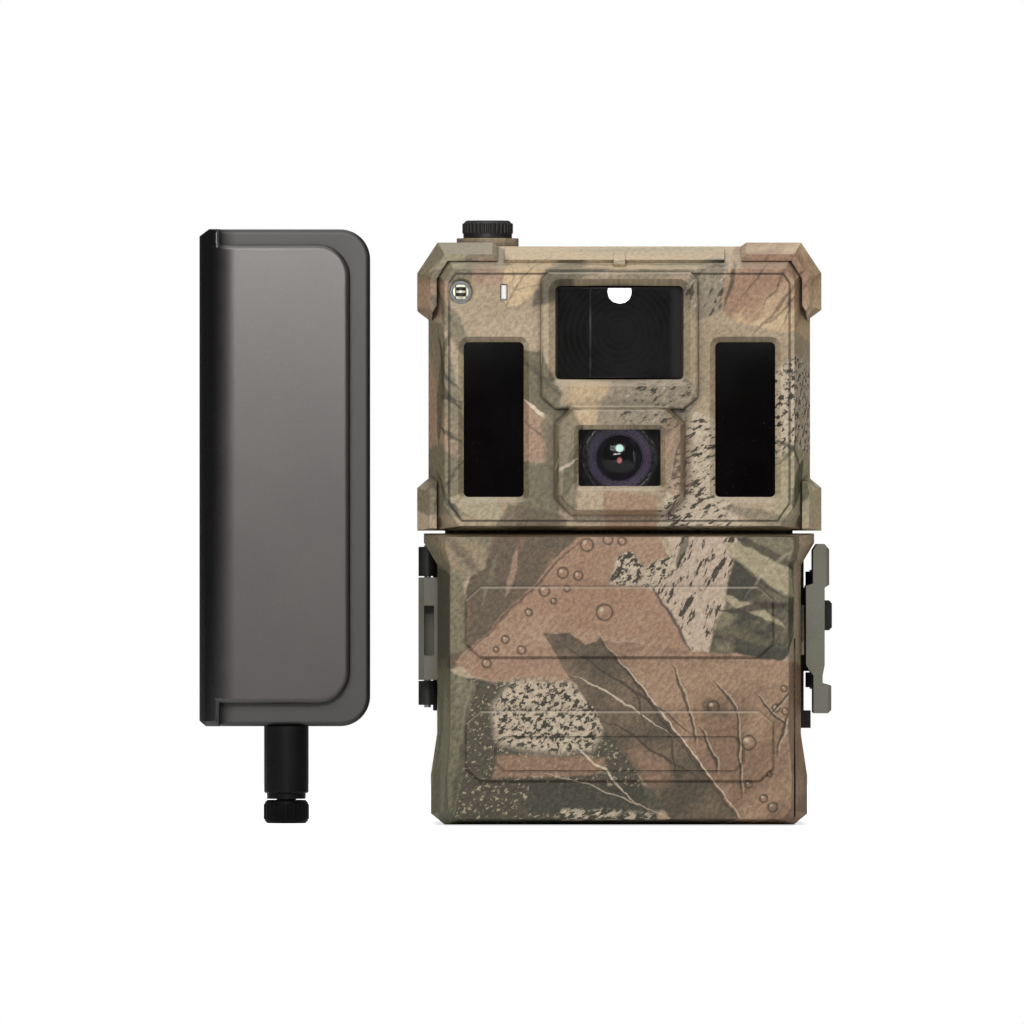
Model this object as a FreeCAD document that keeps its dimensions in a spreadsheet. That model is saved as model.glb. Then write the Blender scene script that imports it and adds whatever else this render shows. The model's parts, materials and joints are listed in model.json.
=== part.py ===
import FreeCAD, Part
import math
import os
import Sketcher
from FreeCAD import Placement, Rotation, Vector

# Camouflaged cellular trail camera with its detached paddle antenna.
# Millimetres, +Z up, +X to the right of a viewer who faces the lens, -Y towards that viewer.
# The origin is the mouth of the tripod socket in the base.

DIMENSIONS = {
    "head_half_width": 48.6, "waist_half_width": 45.9, "panel_half_width": 42.0, "side_half_width": 43.9,
    "foot_half_width": 45.4, "head_low": 70.9, "head_top": 139.3, "corner_top": 140.2, "door_top": 70.2,
    "front_reach": 31.0, "bevel_reach": 22.0, "parting_reach": 5.0, "back_reach": 37.0, "strap_reach": 44.0,
    "wall": 2.5, "gap": 0.4, "panel_low": 72.1, "panel_high": 133.7,
    "pir_half_width": 15.4, "pir_low": 107.2, "pir_high": 129.7, "pir_proud": 1.4, "pir_curve": 40.0,
    "lens_height": 88.4, "lens_half_width": 9.85, "lens_half_height": 6.8, "lens_proud": 4.5,
    "lens_glass_radius": 5.4, "barrel_radius": 8.9,
    "ir_inner": 23.0, "ir_outer": 37.4, "ir_low": 79.0, "ir_high": 116.2,
    "cell_side": 38.1, "cell_height": 128.2, "cell_radius": 2.8, "pipe_side": 27.75, "pipe_height": 128.15,
    "socket_side": 31.7, "socket_back": 8.0, "socket_radius": 3.175, "socket_high": 144.8,
    "socket_sink": 5.2, "boss_radius": 7.5, "cap_radius": 6.15, "cap_bore": 4.1,
    "cap_low": 141.8, "cap_high": 146.0,
    "thread_radius": 2.55, "thread_depth": 7.0, "insert_radius": 3.6, "rear_insert_height": 76.0,
    "lock_hole_height": 63.0, "lock_hole_radius": 2.2,
    "screw_side_high": 33.0, "screw_high": 121.0, "screw_side_low": 19.0, "screw_low": 77.0,
    "cell_pitch": 14.4, "cell_size_radius": 7.1, "cell_length": 50.5, "cell_low": 4.8, "row_front": 12.4,
    "tray_half_width": 30.2, "tray_front": 4.7, "tray_back": 34.5, "tray_top": 58.0,
    "hinge_side": 46.2, "hinge_reach": 5.0, "knuckle_radius": 2.2, "pin_radius": 0.8, "pin_play": 0.05,
    "latch_side": 47.0, "latch_back": 2.0, "claw_side": 46.6, "claw_reach": 6.0,
    "key_side": 24.0, "key_height": 50.0, "key_pitch": 9.0, "key_radius": 3.3,
    "screen_left": -34.0, "screen_right": 8.0, "screen_low": 30.0, "screen_high": 62.0,
    "antenna_side": -80.5, "antenna_back": 8.4, "paddle_left": -101.5, "paddle_right": -60.2,
    "paddle_low": 23.5, "paddle_high": 143.9, "stem_radius": 5.4, "stem_low": 6.4, "nut_high": 5.6,
}


class Size:
    """A length that keeps its value and the formula on the sheet's cells that gives it."""

    def __init__(self, value, text):
        self.value = value
        self.text = text

    def combine(self, other, sign, swap=False):
        other = as_size(other)
        left, right = (other, self) if swap else (self, other)
        results = {
            "+": left.value + right.value,
            "-": left.value - right.value,
            "*": left.value * right.value,
        }
        return Size(results[sign], "(%s %s %s)" % (left.text, sign, right.text))

    def __add__(self, other):
        return self.combine(other, "+")

    def __radd__(self, other):
        return self.combine(other, "+", swap=True)

    def __sub__(self, other):
        return self.combine(other, "-")

    def __rsub__(self, other):
        return self.combine(other, "-", swap=True)

    def __mul__(self, other):
        return self.combine(other, "*")

    def __rmul__(self, other):
        return self.combine(other, "*", swap=True)

    def __neg__(self):
        return self * -1


def as_size(number):
    return number if isinstance(number, Size) else Size(float(number), "(%.6g)" % number)


def value_of(number):
    return number.value if isinstance(number, Size) else float(number)


document = FreeCAD.newDocument("TrailCamera")
sheet = document.addObject("Spreadsheet::Sheet", "Dimensions")
for row, (alias, size) in enumerate(DIMENSIONS.items(), start=1):
    sheet.set("A%d" % row, alias)
    sheet.set("B%d" % row, str(size))
    sheet.setAlias("B%d" % row, alias)
document.recompute()
D = {alias: Size(size, "Dimensions." + alias) for alias, size in DIMENSIONS.items()}
nodes = []


def bind(item, path, number):
    """Set a property that a dimension drives."""
    item.setExpression(path, as_size(number).text)


def place(item, x, y, z, turn=None):
    item.Placement = Placement(Vector(value_of(x), value_of(y), value_of(z)), turn or Rotation())
    for path, number in (("x", x), ("y", y), ("z", z)):
        bind(item, "Placement.Base." + path, number)


def node(name, item):
    """Name a finished sub-part after its file."""
    item.Label = name
    nodes.append(item)
    return item


# ---- Part primitives ----

def block(low, high, name="Block"):
    item = document.addObject("Part::Box", name)
    for prop, first, last in zip(("Length", "Width", "Height"), low, high):
        bind(item, prop, as_size(last) - first)
    place(item, *low)
    return item


TURNS = {"X": Rotation(Vector(0, 1, 0), 90), "Y": Rotation(Vector(1, 0, 0), -90), "Z": Rotation()}


def rod(axis, centre, radius, low, high, name="Rod", sides=0):
    """A cylinder, or a prism with the given number of sides, along one axis between two places on it."""
    item = document.addObject("Part::Prism" if sides else "Part::Cylinder", name)
    if sides:
        item.Polygon = sides
    bind(item, "Circumradius" if sides else "Radius", radius)
    bind(item, "Height", as_size(high) - low)
    spot = {"X": (low, *centre), "Y": (centre[0], low, centre[-1]), "Z": (*centre, low)}[axis]
    place(item, *spot, TURNS[axis])
    return item


def taper(axis, centre, radius_low, radius_high, low, high):
    item = document.addObject("Part::Cone", "Taper")
    bind(item, "Radius1", radius_low)
    bind(item, "Radius2", radius_high)
    bind(item, "Height", as_size(high) - low)
    spot = {"Y": (centre[0], low, centre[-1]), "Z": (*centre, low)}[axis]
    place(item, *spot, TURNS[axis])
    return item


def ball(centre, radius):
    item = document.addObject("Part::Sphere", "Ball")
    bind(item, "Radius", radius)
    place(item, *centre)
    return item


def join(*items):
    item = document.addObject("Part::MultiFuse", "Join")
    item.Shapes = list(items)
    item.Refine = True
    return item


def group(*items):
    item = document.addObject("Part::Compound", "Group")
    item.Links = list(items)
    return item


def common(first, second):
    item = document.addObject("Part::Common", "Common")
    item.Base = first
    item.Tool = second
    return item


def cut(base, *tools):
    item = document.addObject("Part::Cut", "Cut")
    item.Base = base
    item.Tool = join(*tools) if len(tools) > 1 else tools[0]
    return item


# ---- PartDesign bodies ----

class Circle:
    def __init__(self, across, up, radius):
        self.across = across
        self.up = up
        self.radius = radius

    def draw(self, drawing):
        centre = Vector(value_of(self.across), value_of(self.up), 0)
        first = drawing.add(Part.Circle(centre, Vector(0, 0, 1), value_of(self.radius)))
        drawing.fix(first, 3, self.across, self.up)
        drawing.drive(Sketcher.Constraint("Radius", first, value_of(self.radius)), self.radius)


class Outline:
    """A closed run of straight edges through the given points."""

    def __init__(self, points):
        self.points = points

    def draw(self, drawing):
        spots = [Vector(value_of(across), value_of(up), 0) for across, up in self.points]
        ends = spots[1:] + spots[:1]
        lines = [drawing.add(Part.LineSegment(start, end)) for start, end in zip(spots, ends)]
        for line, following in zip(lines, lines[1:] + lines[:1]):
            drawing.constraints.append(Sketcher.Constraint("Coincident", line, 2, following, 1))
        for line, (across, up) in zip(lines, self.points):
            drawing.fix(line, 1, across, up)


class Drawing:
    """Collects the geometry and the driven constraints of one sketch."""

    def __init__(self):
        self.geometry = []
        self.constraints = []
        self.drivers = []

    def add(self, item):
        self.geometry.append(item)
        return len(self.geometry) - 1

    def drive(self, constraint, number):
        self.drivers.append((len(self.constraints), number))
        self.constraints.append(constraint)

    def fix(self, item, end, across, up):
        """Hold one point at its distances from the sketch's origin."""
        for kind, number, zero_axis in (("DistanceX", across, -2), ("DistanceY", up, -1)):
            if abs(value_of(number)) < 1e-9:
                self.constraints.append(Sketcher.Constraint("PointOnObject", item, end, zero_axis))
            else:
                self.drive(Sketcher.Constraint(kind, -1, 1, item, end, value_of(number)), number)

    def finish(self, sketch):
        sketch.addGeometry(self.geometry, False)
        sketch.addConstraint(self.constraints)
        for index, number in self.drivers:
            if isinstance(number, Size):
                bind(sketch, "Constraints[%d]" % index, number)


def rectangle(left, right, low, high):
    return Outline([(left, low), (right, low), (right, high), (left, high)])


def clipped(left, right, low, high, clip_across, clip_up=None):
    """A rectangle with its four corners cut off."""
    clip_up = clip_across if clip_up is None else clip_up
    return Outline([
        (as_size(left) + clip_across, low), (as_size(right) - clip_across, low),
        (right, as_size(low) + clip_up), (right, as_size(high) - clip_up),
        (as_size(right) - clip_across, high), (as_size(left) + clip_across, high),
        (left, as_size(high) - clip_up), (left, as_size(low) + clip_up)])


def mirrored(points):
    """Close a right-hand half outline, listed from the bottom up, with its left-hand image."""
    return Outline(points + [(-as_size(across), up) for across, up in reversed(points)])


def sided(points, side):
    """The same outline on the right (1) or, mirrored, on the left (-1)."""
    return Outline([(as_size(across) * side, up) for across, up in points])


class Body:
    """A PartDesign body made of slabs, lofts and cuts between places on the frame's own axes."""

    planes = {"X": ("YZ_Plane", 1), "Y": ("XZ_Plane", -1), "Z": ("XY_Plane", 1)}

    def __init__(self, name):
        self.name = name
        self.item = document.addObject("PartDesign::Body", name)

    def sketch(self, axis, place_on_axis, loops):
        role, sign = self.planes[axis]
        sketch = self.item.newObject("Sketcher::SketchObject", self.name + "_sketch")
        plane = [feature for feature in self.item.Origin.OriginFeatures if feature.Role == role][0]
        sketch.AttachmentSupport = [(plane, "")]
        sketch.MapMode = "FlatFace"
        offset = as_size(place_on_axis) * sign
        sketch.AttachmentOffset = Placement(Vector(0, 0, offset.value), Rotation())
        bind(sketch, "AttachmentOffset.Base.z", offset)
        drawing = Drawing()
        for loop in loops:
            loop.draw(drawing)
        drawing.finish(sketch)
        return sketch

    def feature(self, kind, profile):
        feature = self.item.newObject("PartDesign::" + kind, "%s_%s" % (self.name, kind))
        feature.Profile = profile
        return feature

    def pad(self, axis, low, high, *loops):
        start = high if axis == "Y" else low
        pad = self.feature("Pad", self.sketch(axis, start, loops))
        bind(pad, "Length", as_size(high) - low)
        self.item.recompute(True)
        return self

    def pocket(self, axis, low, high, *loops):
        start = low if axis == "Y" else high
        before = self.item.Shape.Volume
        pocket = self.feature("Pocket", self.sketch(axis, start, loops))
        bind(pocket, "Length", as_size(high) - low)
        self.item.recompute(True)
        if self.item.Shape.Volume > before - 1e-3:
            raise RuntimeError("a pocket in %s cuts nothing" % self.name)
        return self

    def loft(self, axis, low, high, loop_low, loop_high, kind="AdditiveLoft"):
        loft = self.feature(kind, self.sketch(axis, low, [loop_low]))
        loft.Sections = [self.sketch(axis, high, [loop_high])]
        loft.Ruled = True
        self.item.recompute(True)
        return self

    def knurl(self, centre, radius, groove, low, high, count):
        """Cut evenly spaced round grooves up the outside of a knob that turns about +Z."""
        sketch = self.sketch("Z", high, [Circle(radius, 0.0, groove)])
        sketch.AttachmentOffset = Placement(
            Vector(value_of(centre[0]), value_of(centre[1]), value_of(high)), Rotation())
        bind(sketch, "AttachmentOffset.Base.x", centre[0])
        bind(sketch, "AttachmentOffset.Base.y", centre[1])
        pocket = self.feature("Pocket", sketch)
        bind(pocket, "Length", as_size(high) - low)
        self.item.recompute(True)
        pattern = self.item.newObject("PartDesign::PolarPattern", self.name + "_knurl")
        pattern.Originals = [pocket]
        pattern.Axis = (sketch, ["N_Axis"])
        pattern.Angle = 360.0
        pattern.Occurrences = count
        self.item.Tip = pattern
        self.item.recompute(True)
        return self

    def edges(self, test):
        shape = self.item.Shape
        return ["Edge%d" % (index + 1) for index, edge in enumerate(shape.Edges) if test(edge)]

    def fillet(self, radius, test):
        return self.dress("Fillet", "Radius", radius, test)

    def chamfer(self, size, test):
        return self.dress("Chamfer", "Size", size, test)

    def dress(self, kind, prop, size, test):
        names = self.edges(test)
        if not names:
            raise RuntimeError("no edges for a %s in %s" % (kind, self.name))
        feature = self.item.newObject("PartDesign::" + kind, "%s_%s" % (self.name, kind))
        feature.Base = (feature.BaseFeature, names)
        bind(feature, prop, size)
        self.item.recompute(True)
        if "Invalid" in feature.State:
            problem = (kind, as_size(size).value, len(names), self.name)
            raise RuntimeError("a %s of %s fails on %d edges in %s" % problem)
        return self


def reach(edge, axis):
    """An edge's lowest and highest place on an axis."""
    box = edge.BoundBox
    return getattr(box, axis + "Min"), getattr(box, axis + "Max")


def lies(edge, **limits):
    """True if the edge lies inside every stated pair of limits, such as Y=(-31, -31)."""
    slack = 1e-3
    for axis, (low, high) in limits.items():
        first, last = reach(edge, axis)
        if first < value_of(low) - slack or last > value_of(high) + slack:
            return False
    return True


def straight_along(edge, axis):
    """True if the edge is a straight line parallel to the axis."""
    first, last = reach(edge, axis)
    others = [reach(edge, other) for other in "XYZ" if other != axis]
    return last - first > 1e-3 and all(high - low < 1e-3 for low, high in others)


front = -D["front_reach"]
bevel = -D["bevel_reach"]
parting = -D["parting_reach"]
back = D["back_reach"]
door_front = front + 0.5
lens_front = front - D["lens_proud"]
pir_front = front - D["pir_proud"]
wall = D["wall"]


# ---- The outlines that the shells share ----

waist = D["waist_half_width"]
panel = D["panel_half_width"]
head_waist = mirrored([
    (waist - 0.6, D["head_low"]), (waist, D["head_low"] + 0.84),
    (waist, D["head_top"] - 5.1), (waist - 3.8, D["head_top"])])
head_panel = mirrored([
    (panel - 3.5, D["panel_low"]), (panel, D["panel_low"] + 4.9),
    (panel, D["panel_high"] - 2.8), (panel - 2.1, D["panel_high"])])
wide = D["head_half_width"]
upper_block = [
    (29.3, D["head_top"] - 1.5), (29.3, D["head_top"]), (30.5, D["corner_top"]),
    (wide - 4.9, D["corner_top"]),
    (wide, D["corner_top"] - 7.4), (wide, 124.0), (waist - 0.8, 121.4), (waist - 2.0, 124.5),
    (waist - 2.0, D["head_top"] - 7.0), (waist - 4.6, D["head_top"] - 1.5)]
upper_block_front = [
    (29.3, D["head_top"] - 3.6), (29.3, D["head_top"] - 3.0), (30.5, D["corner_top"] - 2.9),
    (wide - 6.6, D["corner_top"] - 2.9), (wide - 3.2, D["corner_top"] - 8.3), (wide - 3.2, 125.0),
    (waist - 1.0, 123.4), (waist - 2.0, 125.0), (waist - 2.0, D["head_top"] - 8.0),
    (waist - 4.6, D["head_top"] - 3.6)]
lower_block = [
    (waist - 2.0, D["head_low"]), (wide, D["head_low"]), (wide, 81.2), (waist - 0.4, 83.8),
    (waist - 2.0, 83.8)]
lower_block_front = [
    (waist - 2.0, D["head_low"] + 0.6), (wide - 3.0, D["head_low"] + 0.6), (wide - 3.0, 80.2),
    (waist - 0.9, 82.2), (waist - 2.0, 82.2)]
foot = D["foot_half_width"]
side = D["side_half_width"]


def base_half(inset):
    """The right half of the lower case's outline, from the bottom up."""
    return [(foot - 3.2 - inset, 0.0 + inset), (foot - inset, 2.6 + inset), (foot - inset, 12.0),
            (side - inset, 22.0), (side - inset, 62.6), (47.1 - inset, 68.0), (47.1 - inset, D["door_top"])]


door_outline = mirrored(base_half(0.2))
door_panel = mirrored([
    (39.0, 1.7), (41.2, 3.8), (41.4, 12.0), (40.6, 22.0), (40.6, 62.6), (41.8, 66.4),
    (41.8, D["door_top"] - 0.8)])


# ---- Head ----

def build_head_front_shell():
    shell = Body("head_front_shell")
    shell.pad("Y", bevel, parting - D["gap"], head_waist)
    shell.loft("Y", front, bevel, head_panel, head_waist)
    for hand in (1, -1):
        shell.pad("Y", bevel - 2.0, parting - D["gap"], sided(upper_block, hand))
        shell.loft("Y", bevel - 6.5, bevel - 2.0, sided(upper_block_front, hand), sided(upper_block, hand))
        shell.pad("Y", bevel - 2.0, parting - D["gap"], sided(lower_block, hand))
        shell.loft("Y", bevel - 6.0, bevel - 2.0, sided(lower_block_front, hand), sided(lower_block, hand))
    # the bar along the top bevel and the small tab at its middle
    shell.pad("X", -27.6, 25.2, Outline([
        (-24.0, 133.0), (-28.55, 135.2), (-28.9, 136.0), (-24.35, 138.85), (-23.9, 138.2)]))
    shell.pad("X", -1.4, 1.4, Outline([(-24.0, 132.0), (-30.1, 134.3), (-30.5, 135.1), (-26.1, 137.9)]))
    # the case is hollow, with one room under the bevel and a narrower one behind the panel
    shell.pocket("Y", bevel, parting - D["gap"], clipped(-waist + 3.2, waist - 3.2, 73.6, 136.2, 4.0))
    shell.pocket("Y", front + wall, bevel, clipped(-panel + 3.3, panel - 3.3, 75.2, 131.4, 3.0))
    # raised frame of the motion sensor's window
    pir = D["pir_half_width"]
    pir_frame = mirrored([
        (pir - 0.1, 100.0), (pir + 3.5, 103.0), (pir + 3.5, 131.0), (pir + 1.7, 133.0)])
    shell.pad("Y", pir_front, front, pir_frame)
    # lens turret
    lens_low = D["lens_height"] - 13.9
    lens_high = D["lens_height"] + 12.6
    shell.loft("Y", lens_front, front, clipped(-14.6, 14.6, lens_low + 1.2, lens_high - 1.2, 3.8),
               clipped(-15.8, 15.8, lens_low, lens_high, 4.2))
    shell.pocket("Y", lens_front + 2.0, front + wall, rectangle(-12.2, 12.2, 79.4, 97.4))
    # openings
    shell.pocket("Y", pir_front - 1.0, front + wall, rectangle(-pir, pir, D["pir_low"], D["pir_high"]))
    lens_wide, lens_tall = D["lens_half_width"], D["lens_half_height"]
    lens_window = rectangle(-lens_wide, lens_wide, D["lens_height"] - lens_tall, D["lens_height"] + lens_tall)
    shell.pocket("Y", lens_front - 1.0, lens_front + 2.0, lens_window)
    for hand in (1, -1):
        opening = [(D["ir_inner"], D["ir_low"]), (D["ir_outer"], D["ir_low"]),
                   (D["ir_outer"], D["ir_high"]), (D["ir_inner"], D["ir_high"])]
        shell.pocket("Y", front - 1.0, front + wall, sided(opening, hand))
    shell.pocket("Y", front - 1.0, front + wall,
                 Circle(-D["cell_side"], D["cell_height"], D["cell_radius"]))
    shell.pocket("Y", front - 1.0, front + wall, rectangle(
        -D["pipe_side"] - 0.85, -D["pipe_side"] + 0.85, D["pipe_height"] - 1.95, D["pipe_height"] + 1.95))
    # rounded corners, then the sloped frames round the windows
    ir_room = {"Y": (front, front + wall), "Z": (D["ir_low"], D["ir_high"])}
    pir_room = {"X": (-pir, pir), "Y": (pir_front, front + wall), "Z": (D["pir_low"], D["pir_high"])}
    lens_half = D["lens_half_width"]
    lens_room = {"X": (-lens_half, lens_half), "Y": (lens_front, lens_front + 2.0), "Z": (81.0, 96.0)}
    shell.fillet(1.2, lambda edge: straight_along(edge, "Y") and (
        lies(edge, X=(D["ir_inner"], D["ir_outer"]), **ir_room)
        or lies(edge, X=(-D["ir_outer"], -D["ir_inner"]), **ir_room) or lies(edge, **pir_room)))
    shell.fillet(0.6, lambda edge: straight_along(edge, "Y") and lies(edge, **lens_room))
    shell.chamfer(1.3, lambda edge: lies(edge, X=(D["ir_inner"], D["ir_outer"]), Y=(front, front))
                  or lies(edge, X=(-D["ir_outer"], -D["ir_inner"]), Y=(front, front), Z=(78.0, 117.0)))
    shell.chamfer(1.6, lambda edge: lies(edge, X=(-pir, pir), Y=(pir_front, pir_front), Z=(106.0, 130.5)))
    shell.chamfer(1.1, lambda edge: lies(edge, X=(-lens_half, lens_half), Y=(lens_front, lens_front),
                                         Z=(80.5, 96.0)))
    shell.chamfer(0.5, lambda edge: lies(edge, X=(-42.0, -34.0), Y=(front, front), Z=(124.0, 132.0)))
    # soft outer edges of the sensor frame and the turret
    shell.fillet(0.9, lambda edge: lies(edge, X=(-19.0, 19.0), Y=(pir_front, pir_front), Z=(99.9, 133.1))
                 and not lies(edge, X=(-17.2, 17.2), Z=(105.0, 132.0)))
    shell.fillet(0.8, lambda edge: lies(edge, X=(-14.7, 14.7), Y=(lens_front, lens_front))
                 and not lies(edge, X=(-12.0, 12.0), Z=(79.0, 97.0)))
    # fine line round the flat panel
    line = [(panel - 4.0, D["panel_low"] + 0.9), (panel - 0.9, D["panel_low"] + 5.3),
            (panel - 0.9, D["panel_high"] - 3.2), (panel - 2.6, D["panel_high"] - 0.9)]
    inner_line = [(panel - 4.2, D["panel_low"] + 1.4), (panel - 1.4, D["panel_low"] + 5.5),
                  (panel - 1.4, D["panel_high"] - 3.4), (panel - 2.8, D["panel_high"] - 1.4)]
    shell.pocket("Y", front - 0.5, front + 0.35, mirrored(line), mirrored(inner_line))
    # screw posts
    for across, up in screw_places():
        shell.pad("Y", front + wall - 0.5, parting - D["gap"], Circle(across, up, 3.2))
        shell.pocket("Y", front + wall + 4.0, parting - D["gap"] + 1.0, Circle(across, up, 1.2))
    node("head_front_shell", shell.item)


def screw_places():
    """Places of the four screws that hold the head's front shell."""
    high = [(D["screw_side_high"] * hand, D["screw_high"]) for hand in (1, -1)]
    return high + [(D["screw_side_low"] * hand, D["screw_low"]) for hand in (1, -1)]



def build_head_windows():
    pir = D["pir_half_width"]
    curve = D["pir_curve"]
    outer = rod("Z", (0.0, pir_front + 0.6 + curve), curve, 104.9, 132.0)
    inner = rod("Z", (0.0, pir_front + 0.6 + curve), curve - 0.8, 104.0, 133.0)
    pane = common(cut(outer, inner), block((-pir + 0.5, pir_front, D["pir_low"] + 0.5),
                                           (pir - 0.5, front + 6.0, D["pir_high"] - 0.5)))
    frame = cut(block((-17.6, front + wall, 104.8), (17.6, front + wall + 1.0, 131.2)),
                block((-pir + 1.0, front, D["pir_low"] + 1.0), (pir - 1.0, front + 9.0, D["pir_high"] - 1.0)))
    node("pir_lens", join(pane, frame))
    spot = (0.0, 118.5)
    can = join(rod("Y", spot, 5.1, front + 13.6, front + 14.1),
               rod("Y", spot, 4.55, front + 9.5, front + 13.8))
    node("pir_sensor", cut(can, block((-2.6, front + 9.0, 116.4), (2.6, front + 9.9, 120.6))))
    for name, hand in (("ir_window_left", -1), ("ir_window_right", 1)):
        pane = Body(name)
        pane.pad("Y", front + wall, front + wall + 1.2, sided([
            (D["ir_inner"] - 0.7, D["ir_low"] - 1.0), (D["ir_outer"] + 0.9, D["ir_low"] - 1.0),
            (D["ir_outer"] + 0.9, D["ir_high"] + 1.0), (D["ir_inner"] - 0.7, D["ir_high"] + 1.0)], hand))
        pane.pad("Y", front + 1.4, front + wall, sided([
            (D["ir_inner"] + 0.1, D["ir_low"] + 0.1), (D["ir_outer"] - 0.1, D["ir_low"] + 0.1),
            (D["ir_outer"] - 0.1, D["ir_high"] - 0.1), (D["ir_inner"] + 0.1, D["ir_high"] - 0.1)], hand))
        pane.fillet(1.1, lambda edge: (straight_along(edge, "Y")
                                       and lies(edge, Y=(front + 1.4, front + wall))))
        node(name, pane.item)
    boards = []
    diodes = []
    for hand in (-1, 1):
        middle = 30.2 * hand
        boards.append(block((middle - 6.4, front + 9.0, 81.0), (middle + 6.4, front + 10.2, 114.2)))
        for row in range(5):
            for column in (-1, 1):
                spot = (middle + 3.3 * column, 84.8 + 6.4 * row)
                lamp = rod("Y", spot, 2.5, front + 6.5, front + 9.0)
                dome = common(ball((spot[0], front + 6.5, spot[1]), 2.5),
                              block((spot[0] - 3.0, front + 3.0, spot[1] - 3.0),
                                    (spot[0] + 3.0, front + 7.0, spot[1] + 3.0)))
                diodes.append(join(lamp, dome))
    node("ir_led_boards", group(*boards))
    node("ir_leds", group(*diodes))
    eye = rod("Y", (-D["cell_side"], D["cell_height"]), D["cell_radius"] - 0.1, front + 0.9, front + wall)
    dome = common(ball((-D["cell_side"], front + 1.4, D["cell_height"]), 1.5),
                  block((-41.0, front - 0.4, 125.0), (-35.0, front + 1.2, 131.0)))
    node("light_sensor", join(eye, dome))
    pipe = Body("status_light_pipe")
    pipe.pad("Y", front + 0.3, front + wall + 3.0, rectangle(
        -D["pipe_side"] - 0.75, -D["pipe_side"] + 0.75, D["pipe_height"] - 1.85, D["pipe_height"] + 1.85))
    pipe.fillet(0.5, lambda edge: lies(edge, Y=(front + 0.3, front + 0.3)))
    node("status_light_pipe", pipe.item)


def build_lens():
    height = D["lens_height"]
    glass = D["lens_glass_radius"]
    pane_front = lens_front + 2.1
    node("lens_window", block((-11.4, pane_front, height - 8.2), (11.4, pane_front + 1.0, height + 8.2)))
    mouth = pane_front + 1.2
    holder = join(block((-9.6, front + 9.0, height - 9.6), (9.6, front + 15.0, height + 9.6)),
                  rod("Y", (0.0, height), D["barrel_radius"] + 1.1, front + 4.2, front + 9.0))
    holder = cut(holder, rod("Y", (0.0, height), D["barrel_radius"] + 0.1, front + 3.0, front + 8.0),
                 rod("Y", (0.0, height), 4.6, front + 7.0, front + 13.4),
                 block((-7.6, front + 10.9, height - 5.4), (7.6, front + 15.0, height + 5.4)))
    node("lens_holder", holder)
    barrel = rod("Y", (0.0, height), D["barrel_radius"], mouth, front + 8.0)
    funnel = taper("Y", (0.0, height), 8.2, glass + 0.2, mouth - 0.01, mouth + 1.9)
    bore = rod("Y", (0.0, height), glass + 0.1, mouth, front + 6.4)
    step = rod("Y", (0.0, height), 3.6, mouth, front + 9.0)
    node("lens_barrel", cut(barrel, funnel, bore, step))
    dome = common(rod("Y", (0.0, height), glass, mouth - 0.2, mouth + 4.4),
                  ball((0.0, mouth + 8.0, height), 8.0))
    node("lens_front_element", dome)
    node("ir_cut_filter", cut(block((-4.4, front + 11.1, height - 4.8), (1.0, front + 12.1, height + 4.8)),
                              block((-3.6, front + 11.0, height - 3.6), (0.2, front + 11.5, height + 3.6))))
    node("image_sensor", join(block((-5.6, front + 13.7, height - 4.2), (5.6, front + 14.9, height + 4.2)),
                              block((-3.2, front + 13.2, height - 2.4), (3.2, front + 13.7, height + 2.4))))


# ---- Rear case ----

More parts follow.
